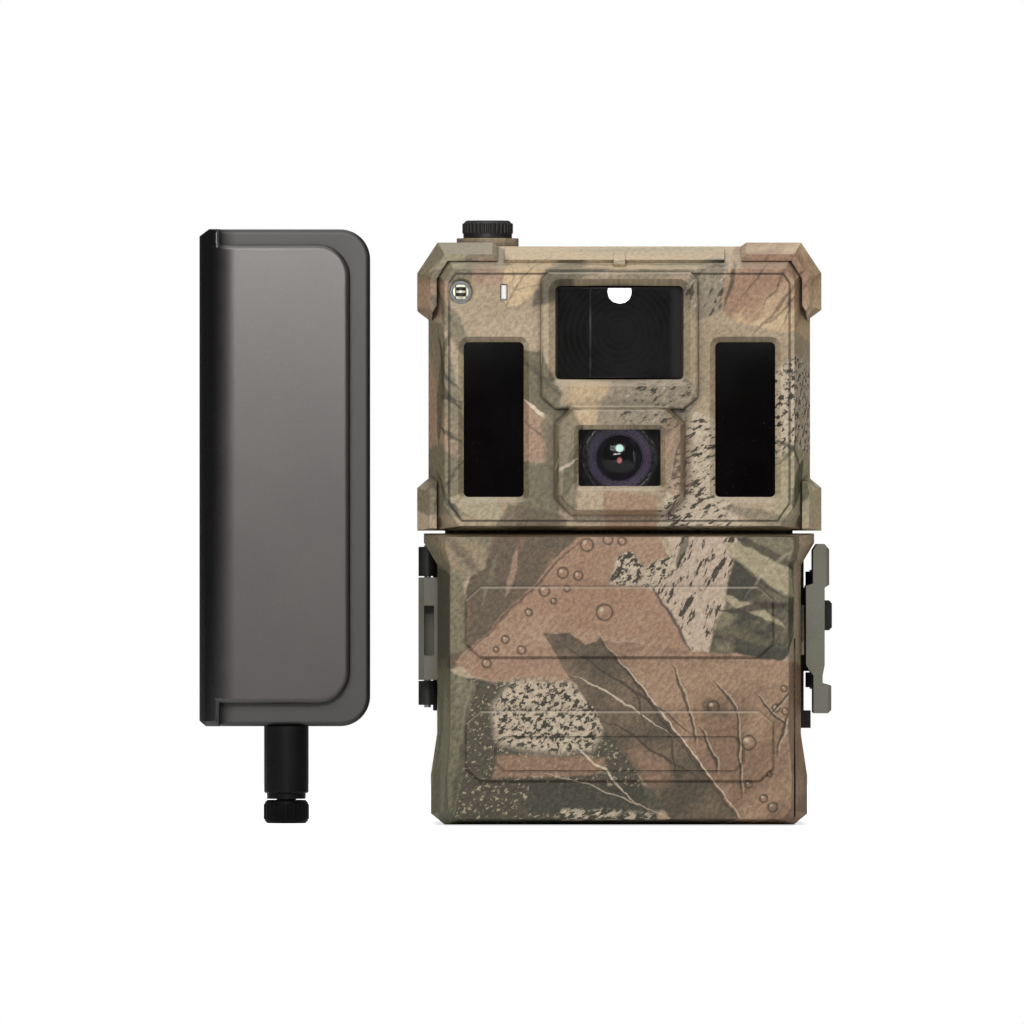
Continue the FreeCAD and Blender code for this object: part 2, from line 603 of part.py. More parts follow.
def build_rear_housing():
    case = Body("rear_housing")
    low = parting + D["gap"]
    tail = back - 7.0
    case.pad("Y", low, tail, head_waist)
    case.loft("Y", tail, back, head_waist, mirrored([
        (waist - 4.0, D["head_low"]), (waist - 3.6, D["head_low"] + 0.84),
        (waist - 3.6, D["head_top"] - 8.6), (waist - 7.4, D["head_top"] - 3.5)]))
    case.pad("Y", low, tail, mirrored(base_half(0.0)))
    case.loft("Y", tail, back, mirrored(base_half(0.0)), mirrored([
        (38.0, 2.6), (40.4, 5.2), (40.4, 12.0), (40.0, 22.0), (40.0, 62.6), (41.9, 68.0),
        (41.9, D["door_top"])]))
    case.pad("Y", low, back - 1.5, rectangle(-42.0, 42.0, D["door_top"] - 1.0, D["head_low"] + 1.0))
    for hand in (1, -1):
        case.pad("Y", low, 22.0, sided(upper_block, hand))
        case.loft("Y", 22.0, 27.0, sided(upper_block, hand), sided(upper_block_front, hand))
        case.pad("Y", low, 22.0, sided(lower_block, hand))
        case.loft("Y", 22.0, 27.0, sided(lower_block, hand), sided(lower_block_front, hand))
    # strap block down the back, with teeth that bite the bark on both sides
    case.pad("Y", back - 1.0, D["strap_reach"] - 1.5, clipped(-24.0, 24.0, 18.0, 124.0, 5.0))
    case.pad("Y", back - 1.0, D["strap_reach"], clipped(-15.0, 15.0, 20.0, 122.0, 4.0))
    teeth = []
    for tooth in range(12):
        low_edge = 22.0 + 8.2 * tooth
        teeth += [(21.5, low_edge + 0.3), (24.0, low_edge + 4.1), (21.5, low_edge + 7.9)]
    for hand in (1, -1):
        spikes = sided([(18.0, 22.3), *teeth, (18.0, 120.1)], hand)
        case.pad("Y", D["strap_reach"] - 1.6, D["strap_reach"] + 0.6, spikes)
    # rooms: head, control room behind the door, battery room open at the base
    case.pocket("Y", low, back - wall, clipped(-waist + 3.4, waist - 3.4, 73.4, 136.4, 3.0))
    case.pocket("Y", low, 3.4, mirrored([
        (40.6, 2.6), (41.2, 12.0), (41.0, 22.0), (41.0, 66.8)]))
    case.pocket("Y", 3.0, 26.0, rectangle(32.9, 39.2, 9.6, 37.0))
    case.pocket("Y", 3.0, 10.4, rectangle(-39.0, -34.6, 12.5, 27.6))
    tray = D["tray_half_width"] + 0.4
    case.pocket("Z", -1.0, D["tray_top"] + 2.4, rectangle(
        -tray, tray, D["tray_front"] - 0.35, D["tray_back"] + 0.35))
    # strap slots right through behind the case, and the hole for a lock cable below them
    for slot_low in (28.0, 92.0):
        case.pocket("X", -30.0, 30.0, rectangle(
            back + 0.2, D["strap_reach"] - 2.1, slot_low, slot_low + 26.5))
    case.pocket("X", -30.0, 30.0, Circle(back + 2.5, D["lock_hole_height"], D["lock_hole_radius"]))
    # boss for the aerial socket on top, sunk so that the aerial's nut can go down round it
    socket = (-D["socket_side"], D["socket_back"])
    case.pad("Z", D["head_top"] - 1.0, D["cap_low"] - 0.1, Circle(*socket, D["boss_radius"]))
    case.pad("Z", 132.6, D["head_top"] - 1.0, Circle(*socket, D["boss_radius"]))
    case.pocket("Z", D["cap_low"] - D["socket_sink"], D["cap_high"],
                Circle(*socket, D["boss_radius"] - 1.0))
    case.pocket("Z", 132.0, D["cap_high"], Circle(*socket, D["socket_radius"] + 0.15))
    # posts and deep wells for the four head screws
    for across, up in screw_places():
        case.pad("Y", low, back - 1.0, Circle(across, up, 4.2))
        case.pocket("Y", low - 1.0, back + 1.0, Circle(across, up, 1.7))
        case.pocket("Y", 3.0, back + 8.0, Circle(across, up, 3.1))
    # inserts for tripods in the base and the back
    case.pad("Z", 0.0, D["thread_depth"] + 1.4, rectangle(-6.0, 6.0, parting + 0.9, 3.9))
    case.pocket("Z", -1.0, D["thread_depth"], Circle(0.0, 0.0, D["insert_radius"]))
    case.pocket("Y", D["strap_reach"] - D["thread_depth"] - 0.1, D["strap_reach"] + 1.0,
                Circle(0.0, D["rear_insert_height"], D["insert_radius"]))
    # cut-backs beside the hinge and the latch
    case.pocket("Y", low, 6.0, rectangle(-52.0, -side, 27.0, 67.5))
    case.pocket("Y", low, 6.4, rectangle(side, 52.0, 23.0, 68.3))
    node("rear_housing", case.item)


def build_inserts():
    base = cut(rod("Z", (0.0, 0.0), D["insert_radius"], 0.0, D["thread_depth"]),
               rod("Z", (0.0, 0.0), D["thread_radius"], -1.0, D["thread_depth"] + 1.0))
    node("tripod_insert", base)
    low = D["strap_reach"] - D["thread_depth"]
    spot = (0.0, D["rear_insert_height"])
    rear = cut(rod("Y", spot, D["insert_radius"], low, D["strap_reach"]),
               rod("Y", spot, D["thread_radius"], low - 1.0, D["strap_reach"] + 1.0))
    node("rear_insert", rear)


def build_gasket_and_screws():
    gasket = Body("head_gasket")
    gasket.pad("Y", parting - D["gap"], parting + D["gap"],
               clipped(-waist + 0.8, waist - 0.8, D["head_low"] + 0.5, D["head_top"] - 0.8, 3.6),
               clipped(-waist + 2.9, waist - 2.9, D["head_low"] + 2.5, D["head_top"] - 2.8, 3.2))
    node("head_gasket", gasket.item)
    screws = []
    for across, up in screw_places():
        shank = rod("Y", (across, up), 1.2, parting - 9.0, 3.0)
        head = cut(rod("Y", (across, up), 2.7, 3.0, 5.2), rod("Y", (across, up), 1.3, 4.0, 6.0, sides=6))
        screws.append(join(shank, head))
    node("shell_screws", group(*screws))


def build_head_electronics():
    board = cut(block((-41.0, -2.4, 76.2), (41.0, -0.8, 134.0)), *[
        rod("Y", spot, 4.6, -4.0, 1.0) for spot in screw_places()])
    node("main_board", board)
    module = join(block((8.0, -0.8, 88.0), (38.0, 1.8, 114.0)),
                  block((11.0, 1.8, 91.0), (35.0, 2.4, 111.0)))
    node("cellular_module", module)


def build_socket_and_cap():
    spot = (-D["socket_side"], D["socket_back"])
    ledge = D["cap_low"] - D["socket_sink"]
    thread = join(rod("Z", spot, D["socket_radius"], ledge, D["socket_high"]),
                  rod("Z", spot, 3.0, 128.0, ledge), rod("Z", spot, 2.6, 126.0, 128.0))
    core = rod("Z", spot, 2.1, D["socket_high"] - 4.0, D["socket_high"] + 1.0)
    pin = rod("Z", spot, 0.6, D["socket_high"] - 4.0, D["socket_high"] - 0.6)
    node("antenna_socket", join(cut(thread, core), pin))
    nut = cut(rod("Z", spot, 4.6, 129.6, 132.5, sides=6), rod("Z", spot, 3.0, 129.0, 133.0))
    node("socket_nut", nut)
    cap = Body("dust_cap")
    cap.pad("Z", D["cap_low"], D["cap_high"], Circle(*spot, D["cap_radius"] - 0.25))
    cap.chamfer(0.7, lambda edge: lies(edge, Z=(D["cap_high"], D["cap_high"])))
    cap.pad("Z", D["cap_high"] - 3.1, D["cap_high"] - 0.7, Circle(*spot, D["cap_radius"]))
    cap.knurl(spot, D["cap_radius"] + 0.15, 0.4, D["cap_high"] - 3.1, D["cap_high"] - 0.7, 36)
    cap.pocket("Z", D["cap_low"] - 1.0, D["cap_high"] - 0.9, Circle(*spot, D["cap_bore"]))
    # ring that plugs into the socket's mouth round its centre pin
    cap.pad("Z", D["socket_high"] - 2.0, D["cap_high"] - 0.8, Circle(*spot, 1.9))
    cap.pocket("Z", D["socket_high"] - 3.0, D["cap_high"] - 0.9, Circle(*spot, 1.0))
    node("dust_cap", cap.item)


# ---- Control room ----

def build_control_panel():
    panel_front = parting + 0.7
    panel_back = panel_front + 1.6
    fascia = Body("control_panel")
    fascia.pad("Y", panel_front, panel_back, clipped(-40.2, 40.2, 9.0, 66.0, 2.0))
    fascia.pocket("Y", panel_front - 1.0, panel_back + 1.0, rectangle(
        D["screen_left"], D["screen_right"], D["screen_low"], D["screen_high"]))
    for _, across, up in key_places():
        fascia.pocket("Y", panel_front - 1.0, panel_back + 1.0, Circle(across, up, D["key_radius"] + 0.3))
    fascia.pocket("Y", panel_front - 1.0, panel_back + 1.0, rectangle(13.0, 29.0, 19.4, 24.0))
    fascia.pocket("Y", panel_front - 1.0, panel_back + 1.0, rectangle(34.5, 37.4, 10.9, 35.5))
    fascia.pocket("Y", panel_front - 1.0, panel_back + 1.0, rectangle(-37.5, -36.1, 13.7, 26.3))
    fascia.pocket("Y", panel_front - 1.0, panel_back + 1.0, rectangle(15.6, 24.8, 12.6, 16.0))
    node("control_panel", fascia.item)
    pane = block((D["screen_left"] + 0.2, panel_front + 0.2, D["screen_low"] + 0.2),
                 (D["screen_right"] - 0.2, panel_back - 0.4, D["screen_high"] - 0.2))
    node("lcd_window", pane)
    glass = block((D["screen_left"] - 2.0, panel_back, D["screen_low"] - 2.0),
                  (D["screen_right"] + 2.0, panel_back + 2.2, D["screen_high"] + 2.0))
    node("lcd_screen", glass)
    for name, across, up in key_places():
        key = Body(name)
        key.pad("Y", panel_front - 1.5, panel_back + 1.6, Circle(across, up, D["key_radius"]))
        key.pad("Y", panel_back + 0.1, panel_back + 0.9, Circle(across, up, D["key_radius"] + 0.9))
        key.fillet(0.6, lambda edge: lies(edge, Y=(panel_front - 1.5, panel_front - 1.5)))
        node(name, key.item)
    knob = join(block((14.0, panel_front - 1.4, 20.2), (18.6, panel_back, 23.2)),
                block((13.2, panel_back, 19.0), (20.6, panel_back + 0.8, 24.4)))
    node("power_switch", knob)
    # both cards stand upright beside the battery room and are pushed in towards the back
    card = Body("sd_card")
    card.pad("X", 34.9, 37.0, Outline([
        (-8.0, 11.2), (24.0, 11.2), (24.0, 31.2), (20.0, 35.2), (-8.0, 35.2)]))
    node("sd_card", card.item)
    slot = cut(block((33.5, panel_back, 10.0), (38.5, 25.4, 36.4)),
               block((34.7, panel_back - 1.0, 11.0), (37.2, 24.6, 35.4)))
    node("sd_socket", slot)
    node("sim_card", block((-37.2, -6.5, 14.0), (-36.4, 8.5, 26.0)))
    slot = cut(block((-38.4, panel_back, 12.9), (-35.2, 9.8, 27.1)),
               block((-37.4, panel_back - 1.0, 13.8), (-36.2, 9.0, 26.2)))
    node("sim_socket", slot)
    port = cut(block((15.8, panel_front + 0.2, 12.8), (24.6, 3.3, 15.8)),
               block((16.4, panel_front - 1.0, 13.3), (24.0, 1.5, 15.3)))
    node("usb_port", join(port, block((17.2, panel_front + 0.8, 14.0), (23.2, 1.6, 14.6))))
    pads = [rod("Y", (across, up), 2.0, panel_back + 2.9, 1.4) for _, across, up in key_places()]
    board = join(block((12.0, 1.4, 37.0), (38.6, 2.9, 63.6)), *pads)
    node("key_board", board)


def key_places():
    """Name and centre of each of the five keys."""
    across, up, pitch = D["key_side"], D["key_height"], D["key_pitch"]
    return [("key_ok", across, up), ("key_up", across, up + pitch), ("key_down", across, up - pitch),
            ("key_left", across - pitch, up), ("key_right", across + pitch, up)]


def build_battery_tray():
    half, low = D["tray_half_width"], 0.3
    tray = Body("battery_tray")
    tray.pad("Z", low, D["tray_top"], rectangle(-half, half, D["tray_front"], D["tray_back"]))
    tray.pocket("Z", D["cell_low"] - 0.5, D["tray_top"] + 1.0, rectangle(
        -half + 0.9, half - 0.9, D["tray_front"] + 0.5, D["tray_back"] - 0.5))
    tray.pocket("Y", D["tray_front"] - 1.0, D["tray_back"] + 1.0, rectangle(-24.0, 24.0, 12.0, 46.0))
    tray.pocket("Z", low - 1.0, 1.8, rectangle(-12.0, 12.0, 14.0, 18.0))
    node("battery_tray", tray.item)
    cells, tabs = [], []
    for row in range(2):
        for column in range(4):
            spot = ((column - 1.5) * D["cell_pitch"], D["row_front"] + row * D["cell_pitch"])
            cell_high = D["cell_low"] + D["cell_length"]
            can = rod("Z", spot, D["cell_size_radius"], D["cell_low"], cell_high - 1.0)
            tip = rod("Z", spot, 2.7, cell_high - 1.2, cell_high)
            cells.append(join(can, tip))
            tabs.append(rod("Z", spot, 4.0, D["cell_low"] - 0.5, D["cell_low"]))
    node("battery_cells", group(*cells))
    node("battery_contacts", group(*tabs))


# ---- Door, hinge and latch ----

def build_front_door():
    door = Body("front_door")
    door_back = parting - D["gap"]
    door.pad("Y", bevel, door_back, door_outline)
    door.loft("Y", door_front, bevel, door_panel, door_outline)
    # raised plates on the outside, the lower one with a shallow grooved panel
    plate_front = door_front - 0.8
    door.pad("Y", plate_front, door_front, clipped(-37.0, 37.0, 40.3, 57.5, 3.6, 3.3))
    door.pad("Y", plate_front, door_front, clipped(-37.0, 37.0, 10.6, 27.6, 3.5, 3.0))
    door.chamfer(0.5, lambda edge: lies(edge, X=(-37.1, 37.1), Y=(plate_front, plate_front)))
    door.pocket("Y", plate_front - 0.2, plate_front + 0.2, clipped(-30.0, 30.0, 12.9, 21.6, 2.2),
                clipped(-29.5, 29.5, 13.4, 21.1, 2.0))
    # vertical joint line near the latch side
    door.pocket("Y", door_front - 1.0, -25.6, rectangle(41.9, 42.3, -1.0, 45.0))
    # hollow
    door.pocket("Y", bevel, door_back, clipped(-40.9, 40.9, 3.0, 67.4, 2.0))
    door.pocket("Y", door_front + wall, bevel, clipped(-38.0, 38.0, 4.2, 66.4, 2.0))
    # relief round the hinge
    door.pocket("Y", -12.0, door_back, rectangle(-50.0, -side + 0.2, 27.0, D["door_top"] + 1.0))
    # keeper that the latch reaches for
    door.pad("X", side - 0.6, side + 0.6, rectangle(-21.0, -17.0, 41.0, 53.0))
    node("front_door", door.item)
    gasket = Body("door_gasket")
    gasket.pad("Y", door_back, parting + D["gap"] - 0.1, clipped(-42.4, 42.4, 1.4, 69.0, 2.4),
               clipped(-41.1, 41.1, 2.8, 67.7, 1.8))
    node("door_gasket", gasket.item)


def build_hinge():
    axis = (-D["hinge_side"], -D["hinge_reach"])
    knuckle = D["knuckle_radius"]
    upper = join(rod("Z", axis, knuckle, 59.9, 67.0),
                 block((-D["hinge_side"] - 1.2, -D["hinge_reach"], 59.9), (-side, 3.4, 67.0)))
    lower = join(rod("Z", axis, knuckle, 28.8, 34.6),
                 block((-D["hinge_side"] - 1.2, -D["hinge_reach"], 28.8), (-side, 3.4, 34.6)))
    plate = block((-D["hinge_side"] + 1.3, parting + 2.4, 27.4), (-side, 3.4, 67.4))
    bore = rod("Z", axis, D["pin_radius"], 20.0, 70.0)
    knuckle_room = block((-50.0, -12.0, 34.6), (-side - 1.0, 1.0, 59.9))
    node("hinge_brackets", cut(join(upper, lower, plate), bore, knuckle_room))
    wing = Body("hinge_plate")
    wing.pad("Z", 34.9, 59.6, Outline([
        (-side + 0.2, -7.6), (-side + 0.2, -14.0), (-47.0, -14.0), (-48.3, -12.6), (-48.4, -5.0),
        (-46.2, -6.0)]))
    wing.pad("Z", 34.9, 59.6, Circle(*axis, knuckle))
    wing.pocket("Y", -16.0, -7.6, rectangle(-47.0, -44.6, 40.8, 52.8))
    wing.pocket("Z", 30.0, 62.0, Circle(*axis, D["pin_radius"] + D["pin_play"]))
    node("hinge_plate", wing.item)
    node("hinge_pin", rod("Z", axis, D["pin_radius"], 28.2, 67.4))


def build_latch():
    pivot = (D["latch_side"], D["latch_back"])
    claw_pivot = (D["claw_side"], -D["claw_reach"])
    lever = Body("latch_lever")
    lever.pad("Y", -24.0, 0.0, Outline([
        (44.9, 38.6), (44.9, 57.6), (46.6, 58.2), (46.6, 66.2), (47.6, 67.7), (49.4, 67.7), (50.5, 66.4),
        (50.5, 57.9), (49.4, 57.2), (49.4, 38.6), (48.9, 36.0), (48.9, 34.2), (51.0, 33.6), (51.0, 27.8),
        (50.2, 27.0), (46.7, 27.0), (46.7, 36.0)]))
    lever.pocket("Y", -22.7, 1.0, rectangle(44.0, 48.3, 37.4, 57.0))
    lever.pocket("X", 48.0, 52.0, rectangle(-16.1, -7.9, 46.7, 54.3))
    lever.chamfer(0.7, lambda edge: (straight_along(edge, "Z")
                                     and lies(edge, X=(50.4, 51.1), Y=(-24.0, -24.0))))
    for low, high in ((33.0, 36.6), (57.4, 61.0)):
        lever.pad("Z", low, high, rectangle(46.8, 48.6, -1.0, D["latch_back"]))
        lever.pad("Z", low, high, Circle(*pivot, 1.8))
        lever.pocket("Z", low - 0.2, high + 0.2, Circle(*pivot, D["pin_radius"] + D["pin_play"]))
    node("latch_lever", lever.item)
    bracket = Body("latch_bracket")
    bracket.pad("X", side, side + 0.8, rectangle(-4.2, 6.0, 27.4, 65.8))
    bracket.pad("Z", 36.9, 57.1, rectangle(side, D["latch_side"], 0.6, 3.4))
    bracket.pad("Z", 36.9, 57.1, Circle(*pivot, 1.8))
    bracket.pocket("Z", 30.0, 62.0, Circle(*pivot, D["pin_radius"]))
    bracket.pad("X", side, 46.4, rectangle(-3.0, 4.0, 23.2, 27.4))
    node("latch_bracket", bracket.item)
    node("latch_pivot_pin", rod("Z", pivot, D["pin_radius"], 32.6, 61.4))
    claw = Body("latch_claw")
    claw.pad("Z", 42.0, 52.0, Outline([
        (44.9, -22.3), (46.0, -22.3), (46.0, -6.0), (44.9, -6.0)]))
    claw.pad("Z", 42.0, 52.0, Circle(*claw_pivot, 1.3))
    claw.pocket("Z", 40.0, 54.0, Circle(*claw_pivot, 0.65))
    node("latch_claw", claw.item)
    node("claw_pivot_pin", rod("Z", claw_pivot, 0.6, 37.4, 57.0))
    button = Body("latch_button")
    button.pad("X", 48.5, 51.3, rectangle(-15.8, -8.2, 46.9, 54.1))
    button.chamfer(0.7, lambda edge: lies(edge, X=(51.3, 51.3)))
    node("latch_button", button.item)


# ---- Detached aerial ----

def build_antenna():
    middle = D["antenna_side"]
    depth = D["antenna_back"]
    left, right = D["paddle_left"], D["paddle_right"]
    low, high = D["paddle_low"], D["paddle_high"]
    rear = Body("antenna_rear_cover")
    rear.pad("Y", depth - 3.2, depth + 6.0, Outline([
        (left, low + 1.4), (left + 1.6, low), (right, low), (right, high), (left + 2.4, high),
        (left, high - 1.8)]))
    rear.fillet(7.2, lambda edge: straight_along(edge, "Y") and lies(edge, X=(right, right)))
    rear.pocket("Y", depth - 4.0, depth + 4.2, rectangle(left + 3.4, right - 5.6, low + 7.0, high - 6.0))
    rear.fillet(8.4, lambda edge: straight_along(edge, "Y") and lies(edge, X=(right - 5.6, right - 5.6)))
    rear.fillet(2.2, lambda edge: lies(edge, Y=(depth + 6.0, depth + 6.0)))
    rear.fillet(1.2, lambda edge: lies(edge, X=(left + 3.0, right), Y=(depth - 3.2, depth - 3.2))
                and not lies(edge, X=(left + 3.3, right - 4.5), Z=(low + 6.9, high - 5.9)))
    node("antenna_rear_cover", rear.item)
    front_cover = Body("antenna_front_cover")
    front_cover.pad("Y", depth - 6.4, depth - 3.2, Outline([
        (left, low + 1.4), (left + 1.6, low), (left + 5.0, low), (left + 5.0, low + 5.5),
        (right - 4.8, low + 5.5), (right - 4.8, high - 3.7), (left + 5.0, high - 3.7), (left + 5.0, high),
        (left + 2.4, high), (left, high - 1.8)]))
    corner = right - 4.8
    front_cover.fillet(7.9, lambda edge: straight_along(edge, "Y") and lies(edge, X=(corner, corner)))
    front_cover.fillet(2.9, lambda edge: straight_along(edge, "Z") and lies(
        edge, X=(left, left), Y=(depth - 6.4, depth - 6.4)))
    front_cover.fillet(1.3, lambda edge: lies(edge, X=(left + 1.0, right), Y=(depth - 6.4, depth - 6.4)))
    node("antenna_front_cover", front_cover.item)
    board = block((left + 5.0, depth - 1.4, low + 12.0), (right - 10.0, depth - 0.2, high - 11.0))
    node("antenna_board", board)
    barrel = Body("antenna_barrel")
    barrel.pad("Z", D["stem_low"] + 0.9, low, Circle(middle, depth, D["stem_radius"]))
    barrel.pad("Z", D["stem_low"] - 0.5, D["stem_low"] + 1.0, Circle(middle, depth, D["stem_radius"] - 0.7))
    barrel.pad("Z", D["nut_high"] - 0.9, D["stem_low"] - 0.4, Circle(middle, depth, 2.35))
    barrel.fillet(0.4, lambda edge: lies(edge, Z=(D["stem_low"] + 0.9, D["stem_low"] + 0.9))
                  and not lies(edge, X=(middle - 4.9, middle + 4.9)))
    node("antenna_barrel", barrel.item)
    nut = Body("antenna_nut")
    nut.pad("Z", 0.0, D["nut_high"], Circle(middle, depth, 5.25))
    nut.chamfer(0.6, lambda edge: lies(edge, Z=(D["nut_high"], D["nut_high"])) or lies(edge, Z=(0.0, 0.0)))
    nut.pad("Z", 1.0, D["nut_high"] - 1.0, Circle(middle, depth, 5.5))
    nut.knurl((middle, depth), 5.65, 0.4, 1.0, D["nut_high"] - 1.0, 30)
    nut.pocket("Z", -1.0, D["nut_high"] - 1.2, Circle(middle, depth, D["socket_radius"]))
    nut.pocket("Z", -1.0, D["nut_high"] + 1.0, Circle(middle, depth, 2.4))
    node("antenna_nut", nut.item)


def write_parts():
    """Stop on anything that failed, then write one file for each sub-part."""
    document.recompute()
    failed = [item.Label for item in document.Objects if "Invalid" in item.State or "Error" in item.State]
    failed += [item.Label for item in nodes if item.Shape.isNull() or not item.Shape.isValid()]
    if failed:
        raise RuntimeError("failed: " + ", ".join(failed))
    os.makedirs("parts", exist_ok=True)
    for item in nodes:
        item.Shape.exportStep("parts/%s.step" % item.Label)
        print("%-22s %2d solids %9.1f mm3" % (item.Label, len(item.Shape.Solids), item.Shape.Volume))
    print(len(nodes), "sub-parts")


for build in (build_head_windows, build_lens, build_inserts, build_gasket_and_screws,
              build_head_electronics, build_socket_and_cap, build_control_panel, build_battery_tray,
              build_front_door, build_hinge, build_latch, build_antenna, build_rear_housing,
              build_head_front_shell):
    build()
write_parts()
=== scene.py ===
import json
import math
import bpy
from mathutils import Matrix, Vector


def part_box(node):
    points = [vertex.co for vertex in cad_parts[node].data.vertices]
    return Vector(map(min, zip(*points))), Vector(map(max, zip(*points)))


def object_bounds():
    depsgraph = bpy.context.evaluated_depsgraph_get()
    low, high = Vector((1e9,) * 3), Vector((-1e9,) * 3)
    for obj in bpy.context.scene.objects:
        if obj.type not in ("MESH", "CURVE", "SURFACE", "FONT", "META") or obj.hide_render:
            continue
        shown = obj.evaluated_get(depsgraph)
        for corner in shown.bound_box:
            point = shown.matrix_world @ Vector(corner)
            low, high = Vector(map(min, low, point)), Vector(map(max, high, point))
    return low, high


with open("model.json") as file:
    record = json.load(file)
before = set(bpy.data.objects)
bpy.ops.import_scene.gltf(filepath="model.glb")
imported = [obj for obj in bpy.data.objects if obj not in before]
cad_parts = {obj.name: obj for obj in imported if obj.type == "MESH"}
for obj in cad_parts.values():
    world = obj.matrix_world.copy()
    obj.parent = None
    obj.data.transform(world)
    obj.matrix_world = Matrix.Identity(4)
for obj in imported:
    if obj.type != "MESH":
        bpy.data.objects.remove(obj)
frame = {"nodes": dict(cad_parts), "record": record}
cad_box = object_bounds()


# ---------------------------------------------------------------- node graphs

def srgb(red, green, blue):
    """A colour from 0 to 255 as the linear values that shaders take."""
    channels = [value / 255.0 for value in (red, green, blue)]
    return [value / 12.92 if value <= 0.04045 else ((value + 0.055) / 1.055) ** 2.4 for value in channels]


class Field:
    """A value, vector or colour that a material works out at each point, with the usual arithmetic."""

    def __init__(self, graph, socket):
        self.graph = graph
        self.socket = socket

    def __add__(self, other):
        return self.graph.math("ADD", self, other)

    def __sub__(self, other):
        return self.graph.math("SUBTRACT", self, other)

    def __rsub__(self, other):
        return self.graph.math("SUBTRACT", other, self)

    def __mul__(self, other):
        return self.graph.math("MULTIPLY", self, other)

    def __abs__(self):
        return self.graph.math("ABSOLUTE", self)

    def scaled(self, factor, offset):
        return self.graph.math("MULTIPLY_ADD", self, factor, offset)

    def most(self, other):
        return self.graph.math("MAXIMUM", self, other)

    def least(self, other):
        return self.graph.math("MINIMUM", self, other)

    def sine(self):
        return self.graph.math("SINE", self)

    def sign(self):
        return self.graph.math("SIGN", self)

    def above(self, edge):
        return self.graph.math("GREATER_THAN", self, edge)

    def rise(self, low, high, first=0.0, last=1.0):
        """Go smoothly from first to last while this value goes from low to high."""
        node = self.graph.node("ShaderNodeMapRange")
        node.interpolation_type = "SMOOTHSTEP"
        for place, value in zip(node.inputs, (self, low, high, first, last)):
            self.graph.put(place, value)
        return Field(self.graph, node.outputs[0])


class Nodes:
    """Short ways to add nodes to a tree."""

    def __init__(self, tree):
        self.tree = tree

    def node(self, kind):
        return self.tree.nodes.new(kind)

    def put(self, target, value):
        if isinstance(value, Field):
            self.tree.links.new(value.socket, target)
        elif hasattr(value, "__len__") and len(value) == 3 and len(target.default_value) == 4:
            target.default_value = (*value, 1.0)
        else:
            target.default_value = value

    def math(self, operation, *values):
        node = self.node("ShaderNodeMath")
        node.operation = operation
        for place, value in zip(node.inputs, values):
            self.put(place, value)
        return Field(self, node.outputs[0])

    def vector(self, operation, first, second=None, scale=None):
        node = self.node("ShaderNodeVectorMath")
        node.operation = operation
        self.put(node.inputs[0], first)
        if second is not None:
            self.put(node.inputs[1], second)
        if scale is not None:
            self.put(node.inputs["Scale"], scale)
        scalar = operation in ("DOT_PRODUCT", "LENGTH", "DISTANCE")
        return Field(self, node.outputs["Value" if scalar else "Vector"])

    def split(self, vector):
        node = self.node("ShaderNodeSeparateXYZ")
        self.put(node.inputs[0], vector)
        return [Field(self, socket) for socket in node.outputs]

    def combine(self, x, y, z):
        node = self.node("ShaderNodeCombineXYZ")
        for socket, value in zip(node.inputs, (x, y, z)):
            self.put(socket, value)
        return Field(self, node.outputs[0])

    def noise(self, scale, vector, detail=3.0, roughness=0.5, output="Fac"):
        """Soft random values. The scale is in bumps per millimetre."""
        node = self.node("ShaderNodeTexNoise")
        self.put(node.inputs["Vector"], vector)
        self.put(node.inputs["Scale"], scale)
        self.put(node.inputs["Detail"], detail)
        self.put(node.inputs["Roughness"], roughness)
        return Field(self, node.outputs[output])

    def mix(self, share, first, second, blend="MIX"):
        node = self.node("ShaderNodeMix")
        node.data_type = "RGBA"
        node.blend_type = blend
        self.put(node.inputs[0], share)
        self.put(node.inputs[6], first)
        self.put(node.inputs[7], second)
        return Field(self, node.outputs[2])


class Graph(Nodes):
    """One procedural material: a Principled shader and the fields that feed it."""

    def __init__(self, name, **finish):
        self.material = bpy.data.materials.new(name)
        self.material.use_nodes = True
        super().__init__(self.material.node_tree)
        self.tree.nodes.clear()
        coordinates = self.node("ShaderNodeTexCoord")
        self.place = self.vector("SCALE", Field(self, coordinates.outputs["Object"]), scale=1000.0)
        self.facing = Field(self, coordinates.outputs["Normal"])
        self.shader = self.node("ShaderNodeBsdfPrincipled")
        output = self.node("ShaderNodeOutputMaterial")
        self.tree.links.new(self.shader.outputs["BSDF"], output.inputs["Surface"])
        self.paint(**finish)

    def noise(self, scale, vector=None, detail=3.0, roughness=0.5, output="Fac"):
        return super().noise(scale, self.place if vector is None else vector, detail, roughness, output)

    def cells(self, scale):
        node = self.node("ShaderNodeTexVoronoi")
        self.put(node.inputs["Vector"], self.place)
        self.put(node.inputs["Scale"], scale)
        return Field(self, node.outputs["Distance"])

    def creases(self, reach=3.0):
        """1 on open surfaces, less where walls stand close by."""
        node = self.node("ShaderNodeAmbientOcclusion")
        node.samples = 4
        node.only_local = True
        node.inputs["Distance"].default_value = reach / 1000.0
        return Field(self, node.outputs["AO"])

    def relief(self, *layers, edge=0.0):
        """Bump the surface with (height, depth in millimetres) layers, over edges rounded to a radius."""
        normal = None
        if edge:
            node = self.node("ShaderNodeBevel")
            node.samples = 4
            node.inputs["Radius"].default_value = edge / 1000.0
            normal = Field(self, node.outputs["Normal"])
        for height, depth in layers:
            node = self.node("ShaderNodeBump")
            node.inputs["Distance"].default_value = depth / 1000.0
            node.inputs["Strength"].default_value = 1.0
            self.put(node.inputs["Height"], height)
            if normal is not None:
                self.put(node.inputs["Normal"], normal)
            normal = Field(self, node.outputs["Normal"])
        self.put(self.shader.inputs["Normal"], normal)

    def paint(self, **fields):
        for name, value in fields.items():
            self.put(self.shader.inputs[name.replace("_", " ")], value)
        return self.material


# ---------------------------------------------------------------- camouflage print

